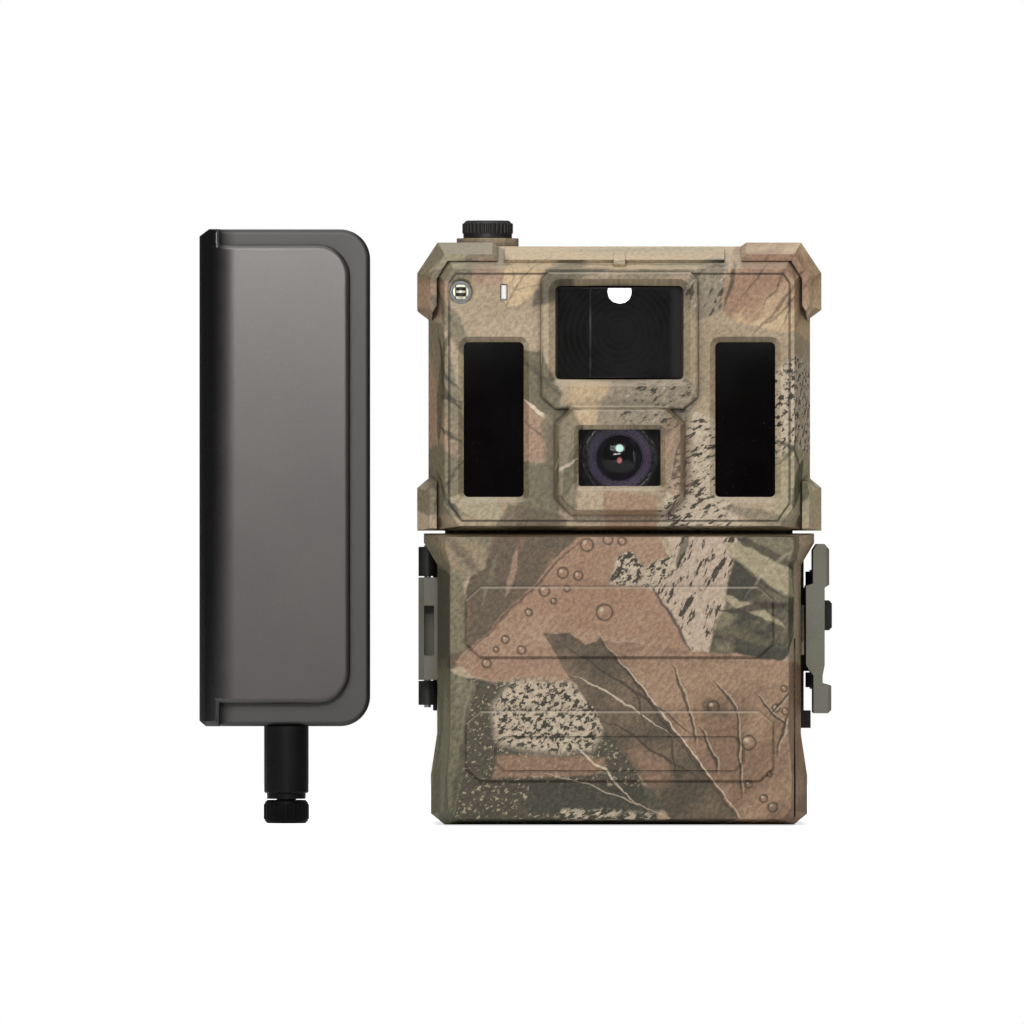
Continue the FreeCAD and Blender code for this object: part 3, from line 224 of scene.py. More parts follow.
# the head's front face, in millimetres, behind the lens turret that stands proud of it
TURRET = 4.5
FRONT = 1000.0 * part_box("head_front_shell")[0][1] + TURRET

KHAKI = srgb(166, 151, 130)
KHAKI_DARK = srgb(142, 128, 105)
SAND = srgb(186, 165, 134)
SAGE = srgb(116, 110, 91)
SAGE_LIGHT = srgb(156, 148, 124)
OLIVE = srgb(92, 90, 70)
OLIVE_DARK = srgb(62, 62, 51)
BROWN = srgb(93, 82, 68)
DARK_BROWN = srgb(56, 47, 38)
PINK = srgb(154, 129, 110)
PINK_DEEP = srgb(146, 118, 98)
RUST = srgb(124, 101, 82)
CREAM = srgb(178, 166, 148)
PALE = srgb(205, 193, 174)
BARK_DARK = srgb(58, 53, 43)
GREY = srgb(134, 125, 108)

GRAINS = {
    "cloud": (0.035, 1.6, 0.5, 4.0, 0.5),
    "drift": (0.05, 2.2, -0.9, 3.0, 0.6),
    "streak": (0.12, 6.0, 0.05, 3.0, 0.6),
    "upright": (0.17, 6.0, 1.45, 3.0, 0.6),
    "skin": (0.08, 1.8, 0.8, 5.0, 0.6),
    "fleck": (0.85, 1.3, 0.6, 3.0, 0.7),
    "bark": (0.85, 2.4, 0.45, 3.0, 0.7),
    "rising": (0.6, 3.2, 1.15, 3.0, 0.7),
    "fine": (1.1, 1.4, 0.8, 4.0, 0.7),
}


class Sheet(Nodes):
    """One layer of the film on the shells: shapes laid over each other on the unrolled front, in millimetres.

    Across and up are the frame's X and Z on the front. The sides and the top carry on from the
    front's edges, and the back has a part of the pattern of its own.
    """

    def __init__(self, name, draw):
        super().__init__(bpy.data.node_groups.new(name, "ShaderNodeTree"))
        self.tree.interface.new_socket("Colour", in_out="INPUT", socket_type="NodeSocketColor")
        for vector in ("Flat", "Straight"):
            self.tree.interface.new_socket(vector, in_out="INPUT", socket_type="NodeSocketVector")
        for grain in GRAINS:
            self.tree.interface.new_socket(grain, in_out="INPUT", socket_type="NodeSocketFloat")
        self.tree.interface.new_socket("Colour", in_out="OUTPUT", socket_type="NodeSocketColor")
        source = self.node("NodeGroupInput")
        self.colour, self.flat, self.straight = [Field(self, source.outputs[index]) for index in range(3)]
        self.grains = {grain: Field(self, source.outputs[grain]) for grain in GRAINS}
        draw(self)
        result = self.node("NodeGroupOutput")
        self.put(result.inputs[0], self.colour)

    def lay(self, mask, colour):
        self.colour = self.mix(mask, self.colour, colour)

    def shade(self, grain, low, high, first, last):
        """A colour that goes from first to last as a grain does from low to high."""
        return self.mix(self.grains[grain].rise(low, high), first, last)

    def patch(self, points, colour, strength=1.0, soft=0.35):
        """A patch with straight sides, its corners listed anticlockwise."""
        inside = None
        for start, end in zip(points, points[1:] + points[:1]):
            along = (Vector(end) - Vector(start)).normalized()
            offset = along.y * start[0] - along.x * start[1]
            edge = self.vector("DOT_PRODUCT", self.flat, (-along.y, along.x, offset))
            inside = edge if inside is None else inside.least(edge)
        mask = inside.rise(-soft, soft, 0.0, strength)
        self.lay(mask, colour)
        return mask

    def blade(self, start, end, width, bend=0.0, soft=0.35, strength=1.0):
        """A pointed shape between two tips, bowed by bend, as a mask and the distances along and across."""
        start, end = Vector(start), Vector(end)
        middle = (start + end) / 2.0
        half = (end - start).length / 2.0
        way = (end - start).normalized()
        aside = Vector((-way.y, way.x))
        along = self.vector("DOT_PRODUCT", self.flat, (way.x / half, way.y / half, -way.dot(middle) / half))
        across = self.vector("DOT_PRODUCT", self.flat, (*aside, -aside.dot(middle) - bend))
        square = along * along
        if bend:
            across = square.scaled(bend, across)
        away = abs(across)
        mask = (square.scaled(-width, width) - away).rise(-soft, soft, 0.0, strength)
        return mask, along, away, half

    def leaf(self, start, end, width, colour, bend=0.0, soft=0.35, strength=1.0):
        self.lay(self.blade(start, end, width, bend, soft, strength)[0], colour)

    def veined(self, start, end, width, colour, vein, bend=0.0, step=6.0, slant=1.1):
        """A leaf with a midrib and side veins that slant towards its tip."""
        mask, along, away, half = self.blade(start, end, width, bend)
        self.lay(mask, colour)
        ribs = away.scaled(-slant * 2.0 * math.pi / step, along * (half * 2.0 * math.pi / step)).sine()
        veins = ribs.rise(0.93, 1.0, 0.0, 0.5).most(away.rise(0.34, 0.14, 0.0, 0.7))
        self.lay(mask * veins, vein)

    def bark(self, points, ground, fleck, grain, amount, soft=0.6):
        """A patch of one colour with flecks of another."""
        mask = self.patch(points, ground, soft=soft)
        self.lay(mask * self.grains[grain].rise(amount + 0.035, amount - 0.035), fleck)
        self.lay(mask * self.grains[grain].rise(0.62, 0.7, 0.0, 0.5), PALE)

    def drops(self, *rings):
        """Drops of water, each given as (across, up, radius): a dark ring with a light spot inside."""
        for x, z, radius in rings:
            away = self.vector("DISTANCE", self.straight, (x, z, 1.0))
            self.lay(abs(away - radius).rise(0.4, 0.1, 0.0, 0.7), DARK_BROWN)
            spot = self.vector("DISTANCE", self.straight, (x - 0.35 * radius, z + 0.4 * radius, 1.0))
            self.lay(spot.rise(0.45 * radius, 0.15 * radius, 0.0, 0.55), PALE)


def head_top(film):
    """Sandy band, olive corner, leaf and bark, and the pink leaf at the upper right."""
    band = [(-32, 133.6), (33, 133.6), (33, 150), (-32, 150)]
    film.patch(band, film.shade("streak", 0.46, 0.64, SAND, SAGE_LIGHT))
    film.patch([(-30, 135.6), (30, 136.6), (30, 137.8), (-30, 137.0)], OLIVE, 0.7, 0.4)
    film.patch([(-60, 130.0), (-33, 130.6), (-26, 136.5), (-31, 160), (-60, 160)], OLIVE, 0.75, 0.5)
    film.patch([(-35.5, 129.6), (-28.0, 129.0), (-27.0, 136.0), (-34.5, 136.8)], PINK, 0.7, 0.9)
    film.leaf((-50.0, 133.0), (-36.0, 137.0), 1.4, SAGE_LIGHT, 0.4, 0.5, 0.7)
    film.veined((-27.5, 124.5), (-16.5, 139.5), 5.0, SAND, SAGE, 0.8)
    film.leaf((-20.5, 124.5), (-8.0, 137.5), 3.6, OLIVE_DARK, 0.6, 0.8, 0.75)
    film.leaf((-14.0, 131.0), (-2.0, 134.0), 1.5, OLIVE, 0.3, 0.7, 0.7)
    film.leaf((-4.0, 131.5), (16.0, 132.5), 1.3, SAGE, 0.3, 0.7, 0.7)
    film.bark([(14.5, 127.5), (18.5, 121.0), (24.0, 124.0), (28.3, 139.5), (22.0, 138.8), (17.0, 133.0)],
              GREY, BARK_DARK, "rising", 0.4)
    film.patch([(24.3, 124.0), (27.5, 121.0), (60, 116.0), (70, 160), (29.8, 160)],
               film.shade("skin", 0.38, 0.62, SAND, PINK_DEEP))
    veins = (
        ((47.5, 137.5), (31.5, 117.5), 0.45), ((43.5, 139.5), (33.0, 123.5), 0.3),
        ((46.0, 131.0), (34.5, 120.5), 0.3), ((41.0, 129.0), (38.5, 119.5), 0.24),
        ((47.0, 124.0), (41.5, 118.5), 0.26), ((36.5, 138.5), (29.0, 126.5), 0.26),
    )
    for start, end, thick in veins:
        film.leaf(start, end, thick, DARK_BROWN, 0.6, 0.3, 0.6)
    film.leaf((28.1, 140.0), (24.6, 123.5), 0.55, BARK_DARK, 0.5, 0.3, 0.8)
    film.leaf((15.0, 127.5), (24.6, 137.5), 0.4, BARK_DARK, 0.9, 0.4, 0.6)


def head_left(film):
    """Leaves and branches to the left of the sensor window and the lens."""
    film.patch([(-60, 121), (-41.8, 123), (-41.0, 131), (-60, 132)], PINK_DEEP, 0.6)
    film.leaf((-48.5, 130.0), (-38.0, 117.0), 0.8, OLIVE_DARK, 0.8, 0.4, 0.85)
    film.leaf((-46.0, 128.5), (-36.5, 112.5), 2.6, SAGE, 0.8, 0.5, 0.8)
    film.patch([(-60, 84), (-37.0, 84), (-37.5, 99), (-40.0, 112), (-44.0, 121), (-60, 121)],
               film.shade("drift", 0.45, 0.6, PINK, SAGE), 0.8)
    film.leaf((-46.5, 90.0), (-41.0, 118.5), 2.5, OLIVE, 1.4, 0.5, 0.85)
    film.leaf((-46.8, 119.0), (-38.0, 105.0), 0.8, OLIVE_DARK, -1.2, 0.35, 0.85)
    film.leaf((-44.5, 112.5), (-37.8, 100.0), 0.9, DARK_BROWN, -1.6, 0.35, 0.75)
    film.leaf((-46.8, 103.5), (-37.8, 101.8), 0.5, OLIVE_DARK, 0.5, 0.3, 0.8)
    film.leaf((-46.6, 96.5), (-37.6, 92.0), 0.45, OLIVE_DARK, 0.6, 0.3, 0.75)
    film.patch([(-60, 76), (-36.0, 74), (-37.5, 88), (-43.0, 92), (-60, 90)], SAGE, 0.9, 0.6)
    film.leaf((-49.0, 86.0), (-37.5, 73.0), 0.8, OLIVE_DARK, 0.8, 0.4, 0.75)
    film.leaf((-45.0, 74.0), (-36.5, 89.0), 0.5, BARK_DARK, 0.8, 0.4, 0.6)
    film.leaf((-41.0, 78.6), (-26.5, 73.0), 2.9, SAGE_LIGHT, 0.9)
    film.patch([(-24.5, 101.0), (-15.0, 97.5), (-14.0, 104.5), (-19.0, 114.5), (-24.5, 114.5)],
               OLIVE, 0.85, 0.5)
    film.leaf((-24.0, 112.0), (-14.5, 104.0), 0.6, OLIVE_DARK, 0.5, 0.4, 0.6)
    film.patch([(-24.5, 86.5), (-15.0, 88.0), (-15.5, 97.5), (-24.5, 102.5)], PINK, 0.95)
    film.leaf((-23.6, 102.6), (-15.4, 96.4), 0.5, PALE, 0.0, 0.15)
    film.leaf((-23.0, 97.5), (-16.0, 90.5), 0.35, DARK_BROWN, 0.5, 0.3, 0.5)
    film.patch([(-24.5, 70.0), (-14.5, 72.0), (-15.0, 86.0), (-24.5, 88.0)], OLIVE, 0.8, 0.5)
    film.patch([(-31.5, 69.0), (-12.0, 69.0), (-13.5, 74.5), (-26.0, 77.5)], BROWN, 0.75)


def head_right(film):
    """The bark that falls from the right edge down to the door, and what lies round the lens."""
    film.bark([(60, 89.0), (60, 110.5), (43.0, 113.0), (33.5, 108.0), (34.0, 88.0)],
              CREAM, BARK_DARK, "fleck", 0.455)
    film.bark([(8.0, 66.0), (12.0, 62.0), (32.0, 62.0), (27.0, 78.0), (13.5, 90.0)],
              CREAM, BARK_DARK, "bark", 0.45)
    film.bark([(13.5, 88.0), (27.0, 76.0), (23.5, 97.5), (18.0, 99.5)], CREAM, BARK_DARK, "bark", 0.45)
    film.patch([(-7.0, 99.0), (-3.0, 93.0), (4.0, 91.0), (16.0, 96.0), (19.5, 104.5), (14.0, 108.5),
                (-4.0, 107.0)], GREY, 0.9, 0.7)
    film.bark([(-1.0, 93.5), (8.0, 91.5), (15.0, 96.0), (19.5, 104.5), (14.5, 108.5), (2.0, 106.5)],
              GREY, BARK_DARK, "bark", 0.435)
    film.patch([(-12.5, 96.0), (-7.5, 93.5), (-2.0, 107.0), (-12.0, 107.0)], SAND, 0.7, 0.5)
    film.patch([(-18.5, 78.0), (-10.0, 74.0), (-9.5, 97.0), (-11.5, 101.5), (-18.5, 99.0)], SAGE, 0.85, 0.6)
    film.leaf((-9.5, 94.5), (-14.0, 78.0), 2.0, OLIVE, 0.8, 0.4, 0.8)
    film.leaf((-15.5, 84.5), (-9.5, 88.0), 0.45, PALE, 0.3, 0.3, 0.6)
    film.patch([(9.5, 80.0), (16.5, 79.0), (18.0, 92.0), (13.0, 98.5), (9.5, 96.0)], RUST, 0.5, 0.6)
    film.leaf((11.0, 86.0), (14.5, 96.5), 0.5, PINK, 0.5, 0.25, 0.9)
    film.leaf((12.5, 83.0), (15.2, 92.5), 0.4, DARK_BROWN, 0.3, 0.2, 0.6)
    film.patch([(-3.0, 64.0), (9.5, 64.0), (8.5, 79.5), (-4.0, 80.5)], PINK_DEEP, 0.75, 0.5)
    film.patch([(37.0, 72.0), (60, 74.0), (60, 90.0), (40.0, 90.5), (36.5, 86.0)], SAGE_LIGHT, 0.85, 0.5)
    film.leaf((49.5, 88.5), (42.0, 76.0), 2.4, OLIVE, -0.4)
    film.leaf((37.0, 93.0), (48.5, 84.5), 0.6, OLIVE_DARK, 0.6, 0.3, 0.8)
    film.leaf((46.8, 97.0), (37.0, 86.0), 0.4, BARK_DARK, 0.4, 0.3, 0.7)
    film.leaf((25.0, 76.0), (41.0, 72.5), 1.6, SAGE, 0.6, 0.5, 0.7)


def door_top(film):
    """Dark twigs at the left, the wet pink leaf, bark and green leaves."""
    film.patch([(-31.0, 71.5), (-44.0, 37.0), (-36.0, 39.0), (-8.0, 71.5)],
               film.shade("upright", 0.52, 0.66, BROWN, RUST))
    sage = film.shade("drift", 0.5, 0.62, SAGE, KHAKI_DARK)
    film.patch([(-60, 38.0), (-36.5, 42.0), (-38.0, 72.0), (-60, 72.0)], sage, 1.0, 0.4)
    film.patch([(-38.5, 57.5), (-32.0, 62.0), (-30.3, 72.0), (-39.0, 72.0)], sage, 1.0, 0.4)
    film.leaf((-42.5, 70.0), (-33.0, 60.0), 1.3, BROWN, 0.5, 0.5, 0.6)
    film.patch([(-60, 34.0), (-41.5, 38.0), (-41.8, 60.0), (-60, 64.0)], OLIVE_DARK, 0.85, 0.5)
    film.leaf((-24.6, 67.0), (-27.0, 55.0), 0.9, PINK, 0.0, 0.35, 0.75)
    film.leaf((-29.5, 66.0), (-33.5, 52.0), 0.5, SAGE, 0.2, 0.35, 0.6)
    skin = film.shade("skin", 0.36, 0.64, PINK, PINK_DEEP)
    film.patch([(-39.5, 38.2), (21.0, 38.5), (13.0, 60.5), (8.0, 72.0), (-8.0, 72.0)], skin, 1.0, 0.25)
    film.patch([(-39.5, 39.5), (-35.0, 36.0), (-22.0, 33.6), (-10.0, 35.0), (-8.0, 45.0), (-26.0, 50.0)],
               skin, 1.0, 0.25)
    film.leaf((-20.0, 45.5), (8.0, 43.5), 2.2, CREAM, -1.2, 1.4, 0.35)
    film.leaf((-16.0, 60.0), (2.0, 54.0), 2.6, PINK_DEEP, 0.8, 1.6, 0.45)
    film.leaf((2.0, 56.5), (13.5, 43.0), 1.6, PINK_DEEP, 0.9, 1.0, 0.5)
    film.leaf((-38.0, 39.5), (-8.0, 70.5), 0.4, DARK_BROWN, 0.0, 0.2, 0.6)
    film.drops((-7.8, 67.5, 1.5), (-2.8, 68.8, 1.15), (-13.6, 60.8, 1.25), (-9.9, 60.1, 1.05),
               (-18.0, 56.4, 1.2), (-3.6, 51.3, 1.9), (-21.8, 51.3, 0.8), (-27.4, 44.8, 0.9),
               (-23.5, 42.3, 0.95), (-29.6, 42.4, 0.6), (-31.9, 39.1, 1.05), (-12.6, 57.0, 0.7),
               (-15.8, 54.0, 0.65), (0.6, 68.4, 0.9))
    film.bark([(-2.4, 58.4), (4.0, 57.4), (5.8, 62.0), (2.6, 65.6), (-0.6, 65.0)],
              CREAM, BARK_DARK, "fleck", 0.5, 0.4)
    film.bark([(4.0, 57.4), (10.0, 55.6), (14.0, 62.0), (12.0, 65.0), (6.0, 61.5)],
              CREAM, BARK_DARK, "fleck", 0.47, 0.4)
    dry = srgb(176, 160, 144)
    film.bark([(17.8, 38.5), (20.7, 40.5), (30.0, 72.0), (11.0, 72.0)], dry, BARK_DARK, "rising", 0.425, 0.3)
    film.bark([(8.5, 57.0), (17.0, 42.0), (19.0, 60.0), (13.0, 61.0)], dry, BARK_DARK, "rising", 0.425, 0.3)
    film.leaf((13.5, 60.5), (17.0, 72.0), 0.8, BARK_DARK, 0.3, 0.3, 0.7)
    film.leaf((7.6, 57.4), (18.2, 40.0), 0.5, DARK_BROWN, 0.5, 0.35, 0.85)
    film.patch([(20.9, 40.0), (36.0, 37.5), (46.0, 46.0), (46.0, 72.0), (30.0, 72.0)],
               film.shade("skin", 0.44, 0.58, OLIVE_DARK, SAGE), 1.0, 0.4)
    film.leaf((25.0, 68.0), (46.0, 55.0), 4.4, SAGE_LIGHT, 1.4, 0.5, 0.95)
    film.leaf((28.0, 72.5), (48.0, 63.0), 2.4, SAGE, 0.3, 0.4, 0.95)
    film.leaf((25.5, 71.5), (47.0, 61.0), 1.1, BARK_DARK, -0.8, 0.4, 0.85)
    film.leaf((26.5, 64.5), (40.0, 55.0), 0.7, BARK_DARK, -0.6, 0.4, 0.7)
    film.leaf((23.0, 55.8), (40.0, 47.5), 1.0, SAGE_LIGHT, 0.3, 0.3)
    film.leaf((22.5, 52.5), (42.5, 53.5), 0.9, BARK_DARK, -0.9, 0.35, 0.9)
    film.leaf((22.0, 47.5), (38.5, 42.5), 1.4, OLIVE, 0.6, 0.6, 0.8)
    film.leaf((31.0, 56.0), (41.0, 66.0), 0.5, CREAM, 0.6, 0.5, 0.45)
    film.patch([(21.5, 35.0), (33.0, 37.0), (34.0, 41.0), (21.0, 41.5)], OLIVE_DARK, 1.0, 0.6)


def door_low(film):
    """Bark and stems at the left and two large leaves that cross to the lower right."""
    film.bark([(-60, -5.0), (10.0, -5.0), (-2.0, 33.0), (-36.0, 35.5), (-60, 35.5)],
              srgb(72, 69, 57), SAGE_LIGHT, "fleck", 0.4, 0.4)
    film.bark([(-29.0, 20.0), (-20.0, 17.5), (-6.5, 18.0), (-3.0, 25.0), (-7.0, 31.0), (-12.0, 34.5),
               (-26.0, 35.2), (-31.0, 28.0)], CREAM, BARK_DARK, "fleck", 0.475, 1.2)
    film.patch([(-30.5, 11.5), (-5.0, 12.5), (-3.0, 16.5), (-30.0, 17.3)], PINK_DEEP, 0.75, 0.5)
    film.patch([(-21.0, 3.6), (14.0, 3.4), (12.0, 9.5), (-21.0, 10.4)], OLIVE_DARK, 0.9, 0.7)
    film.bark([(-15.0, -4.0), (12.0, -4.0), (9.0, 3.4), (-14.0, 4.2)], OLIVE_DARK, CREAM, "bark", 0.48, 0.7)
    film.patch([(-60, 38.0), (-60, -5.0), (-40.5, -5.0), (-34.8, 34.0), (-42.0, 38.0)],
               film.shade("upright", 0.45, 0.6, srgb(98, 97, 78), srgb(118, 117, 98)), 1.0, 0.4)
    film.leaf((-40.2, 1.0), (-35.8, 30.0), 0.7, OLIVE_DARK, 0.2, 0.5, 0.7)
    film.patch([(-4.0, 44.5), (33.0, -6.0), (70.0, -6.0), (70.0, 36.5)],
               film.shade("skin", 0.4, 0.62, srgb(152, 128, 107), srgb(126, 103, 84)))
    film.leaf((3.0, 40.5), (18.0, 39.0), 1.2, PINK, 0.6, 0.8, 0.6)
    film.leaf((20.0, 30.5), (26.5, 26.0), 1.8, DARK_BROWN, 0.0, 1.2, 0.4)
    film.drops((34.6, 6.6, 0.9), (36.8, 4.5, 1.1), (37.6, 28.3, 0.9), (39.8, 27.6, 0.8), (31.0, 10.0, 0.8),
               (22.5, 28.6, 1.4), (31.0, 20.0, 1.7), (39.5, 33.0, 0.7), (36.0, 12.5, 0.6))
    cracks = (
        ((12.3, 40.0), (18.2, 19.0), 0.9), ((23.0, 34.5), (28.2, 26.5), 0.7),
        ((28.2, 28.5), (28.8, 7.0), 0.2), ((33.0, 32.0), (41.0, 23.0), -0.5),
        ((36.0, 26.0), (44.0, 35.0), 0.4), ((38.0, 17.0), (40.5, 27.5), 0.3),
        ((19.0, 24.0), (23.5, 12.0), 0.5),
    )
    for start, end, bow in cracks:
        film.leaf(start, end, 0.4, DARK_BROWN, bow, 0.2, 0.8)
        film.leaf((start[0] + 0.5, start[1]), (end[0] + 0.5, end[1]), 0.2, PALE, bow, 0.15, 0.4)
    dusk = film.shade("skin", 0.4, 0.62, srgb(108, 94, 79), srgb(78, 71, 59))
    film.patch([(-18.2, 46.6), (-12.0, 36.0), (4.0, 35.5), (-4.4, 45.2)], dusk, 1.0, 0.3)
    film.patch([(-13.0, 37.5), (-3.0, 23.0), (17.0, -5.0), (32.8, -5.0), (1.5, 38.0)], dusk, 1.0, 0.3)
    film.patch([(2.0, 18.5), (7.0, 9.5), (13.0, 9.5), (12.0, 15.5), (4.0, 20.5)], PINK_DEEP, 0.55, 1.6)
    film.patch([(-12.0, 45.6), (-8.5, 43.6), (-5.0, 44.2), (-4.4, 47.0), (-11.0, 47.4)], PINK, 1.0, 0.25)
    veins = (
        ((-4.4, 44.6), (32.0, -4.0), 0.5, DARK_BROWN), ((-3.4, 44.2), (33.0, -4.0), 0.2, PALE),
        ((-15.5, 44.5), (20.5, 20.0), 0.3, DARK_BROWN), ((-11.0, 36.2), (12.0, 22.5), 0.24, PALE),
        ((-4.0, 25.5), (18.0, 11.5), 0.35, DARK_BROWN), ((-14.0, 22.0), (5.0, 4.5), 0.25, PALE),
        ((-20.0, 13.8), (12.0, 2.0), 0.22, CREAM), ((3.0, 34.0), (6.0, 22.0), 0.26, DARK_BROWN),
        ((11.5, 24.0), (13.0, 12.0), 0.26, DARK_BROWN),
    )
    for start, end, thick, tone in veins:
        film.leaf(start, end, thick, tone, 0.6, 0.15, 0.75)


def wrap(film):
    """The same motifs again on the sides, the top and the back."""
    pink = film.shade("skin", 0.38, 0.62, PINK, RUST)
    sage = film.shade("skin", 0.4, 0.6, SAGE, OLIVE)
    for offset in (-98.0, 98.0, 182.0):
        film.veined((offset - 26.0, 18.0), (offset + 18.0, 60.0), 9.0, pink, DARK_BROWN, 3.0)
        film.veined((offset + 30.0, 48.0), (offset - 16.0, 92.0), 8.0, BROWN, CREAM, -2.0)
        film.veined((offset - 34.0, 104.0), (offset + 14.0, 134.0), 7.5, sage, OLIVE_DARK, 2.0)
        film.bark([(offset + 8.0, 2.0), (offset + 20.0, 0.0), (offset + 34.0, 60.0), (offset + 24.0, 84.0)],
                  CREAM, BARK_DARK, "rising", 0.43)
        film.bark([(offset - 12.0, 84.0), (offset + 16.0, 96.0), (offset + 12.0, 114.0),
                   (offset - 16.0, 100.0)], GREY, BARK_DARK, "fleck", 0.44)
    film.veined((-30.0, 152.0), (12.0, 178.0), 8.0, pink, DARK_BROWN, 3.0)
    film.veined((8.0, 204.0), (40.0, 160.0), 8.0, sage, OLIVE_DARK, 2.0)
    film.bark([(-46.0, 166.0), (-24.0, 158.0), (-16.0, 196.0), (-40.0, 206.0)],
              CREAM, BARK_DARK, "rising", 0.44)


def camouflage(name, sheets):
    """The printed film on a shell: mottled khaki under the given sheets."""
    graph = Graph(name, Specular_IOR_Level=0.35)
    x, y, z = graph.split(graph.place)
    toward = graph.split(graph.facing)
    nx, ny, nz = [abs(part) for part in toward]
    depth = y - FRONT
    side = (nx - ny.most(nz)).above(0.05)
    top = (nz - ny.most(nx)).above(0.0)
    rear = toward[1].above(0.6)
    across = x + side * depth * x.sign()
    across = across + rear * (150.0 - x - across)
    straight = graph.combine(across, z + top * depth, 1.0)
    sway = graph.noise(0.16, straight, detail=4.0, output="Color")
    shift = graph.vector("MULTIPLY", graph.vector("SUBTRACT", sway, (0.5, 0.5, 0.5)), (3.2, 3.2, 0.0))
    flat = graph.vector("ADD", straight, shift)
    grains = {}
    for grain, (scale, stretch, angle, detail, roughness) in GRAINS.items():
        node = graph.node("ShaderNodeMapping")
        graph.put(node.inputs["Vector"], straight)
        node.inputs["Rotation"].default_value = (0.0, 0.0, -angle)
        node.inputs["Scale"].default_value = (1.0, 1.0, 1.0)
        turned = Field(graph, node.outputs["Vector"])
        stretched = graph.vector("MULTIPLY", turned, (1.0 / stretch, 1.0, 1.0))
        grains[grain] = graph.noise(scale, stretched, detail=detail, roughness=roughness)
    colour = graph.mix(grains["cloud"].rise(0.42, 0.62, 0.0, 0.7), KHAKI, KHAKI_DARK)
    colour = graph.mix(grains["drift"].rise(0.55, 0.68, 0.0, 0.8), colour, SAGE_LIGHT)
    for sheet in sheets:
        node = graph.node("ShaderNodeGroup")
        node.node_tree = sheet.tree
        for place, value in zip(node.inputs, (colour, flat, straight, *grains.values())):
            graph.put(place, value)
        colour = Field(graph, node.outputs[0])
    speck = graph.mix(grains["fine"].rise(0.3, 0.7), srgb(70, 62, 50), srgb(232, 226, 212))
    colour = graph.mix(0.5, colour, speck, "SOFT_LIGHT")
    # painted highlight on the edges that face up, painted shade in the corners and under the edges that face
    # down
    sloped = ny.rise(0.35, 0.6)
    upper = toward[2].rise(0.35, 0.65) * sloped
    lower = toward[2].rise(-0.35, -0.65) * sloped
    painted_crease_shade = graph.creases().rise(0.95, 0.45, 0.0, 0.75) * upper.rise(0.0, 1.0, 1.0, 0.25)
    # painted highlight: the sloped edges that face up are lightened towards pale
    colour = graph.mix(upper * 0.3, colour, PALE)
    # painted shade: creases and the edges that face down are darkened towards near black
    colour = graph.mix(painted_crease_shade.most(lower * 0.35), colour, srgb(30, 27, 22))
    graph.relief((graph.noise(2.2, detail=2.0), 0.02), (grains["bark"], 0.02), edge=0.25)
    return graph.paint(Base_Color=colour, Roughness=grains["fine"].rise(0.3, 0.75, 0.42, 0.56))


def make_camouflage():
    """The film for each shell, from the sheets that reach it."""
    around = Sheet("wrap", wrap)
    head = [Sheet(draw.__name__, draw) for draw in (head_top, head_left, head_right)]
    door = [Sheet(draw.__name__, draw) for draw in (door_top, door_low)]
    return {
        "head_front_shell": camouflage("film_head", [around, *head]),
        "front_door": camouflage("film_door", door),
        "camo_shell": camouflage("film_rear", [around]),
    }


# ---------------------------------------------------------------- other materials

def middle_of(node):
    """The middle of a node's box, in millimetres."""
    low, high = [1000.0 * Vector(corner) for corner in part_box(node)]
    return (low + high) / 2.0


def moulded(name, tone, dark_tone, roughness, grain=2.6, depth=0.03, edge=0.2, specular=0.4):
    """Moulded plastic or rubber: a fine spark-eroded grain and faint uneven colour."""
    graph = Graph(name, Specular_IOR_Level=specular)
    cloud = graph.noise(0.07, detail=4.0)
    grit = graph.noise(grain, detail=2.0, roughness=0.7)
    colour = graph.mix(cloud.rise(0.3, 0.7), dark_tone, tone)
    worn = [min(1.0, 2.2 * part + 0.01) for part in tone]
    colour = graph.mix(grit.rise(0.55, 0.8, 0.0, 0.25), colour, worn)
    graph.relief((grit, depth), edge=edge)
    return graph.paint(Base_Color=colour, Roughness=cloud.rise(0.3, 0.7, roughness - 0.05, roughness + 0.06))


def antenna_skin():
    """Satin plastic of the aerial: finely speckled, and crowned towards the spine at its left, where painted
    shade darkens it.
    """
    low, front = [1000.0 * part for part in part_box("antenna_front_cover")[0][:2]]
    graph = Graph("antenna_plastic", Specular_IOR_Level=1.0)
    x, y, _ = graph.split(graph.place)
    cloud = graph.noise(0.05, detail=3.0)
    grit = graph.noise(2.4, detail=2.0, roughness=0.7)
    rim = y.rise(front + 0.3, front + 0.5)
    inward = (low + 9.0 - x).most(0.0)
    colour = graph.mix(cloud.rise(0.3, 0.7), srgb(47, 42, 42), srgb(52, 47, 46))
    colour = graph.mix(grit.rise(0.5, 0.8, 0.0, 0.3), colour, srgb(92, 84, 82))
    colour = graph.mix(rim, colour, srgb(12, 11, 11))
    # painted shade: the colour goes near black over the band towards the spine at the left
    colour = graph.mix(inward.rise(1.0, 6.0), colour, srgb(6, 6, 6))
    graph.relief((inward * inward * -0.045, 1.0), (grit, 0.012), edge=0.3)
    roughness = cloud.rise(0.3, 0.7, 0.32, 0.34) + rim * 0.16 - inward.rise(1.0, 8.0, 0.0, 0.2)
    return graph.paint(Base_Color=colour, Roughness=roughness)


def metal(name, tone, roughness, direction=(1.0, 1.0, 0.05)):
    """Metal with fine drawn or machined lines and a few duller spots."""
    graph = Graph(name, Metallic=1.0)
    lines = graph.noise(4.0, graph.vector("MULTIPLY", graph.place, direction), detail=2.0)
    spots = graph.noise(0.5, detail=3.0)
    colour = graph.mix(spots.rise(0.5, 0.75), tone, [0.62 * part for part in tone])
    graph.relief((lines, 0.006), edge=0.1)
    return graph.paint(Base_Color=colour, Roughness=spots.rise(0.4, 0.7, roughness, roughness + 0.18))


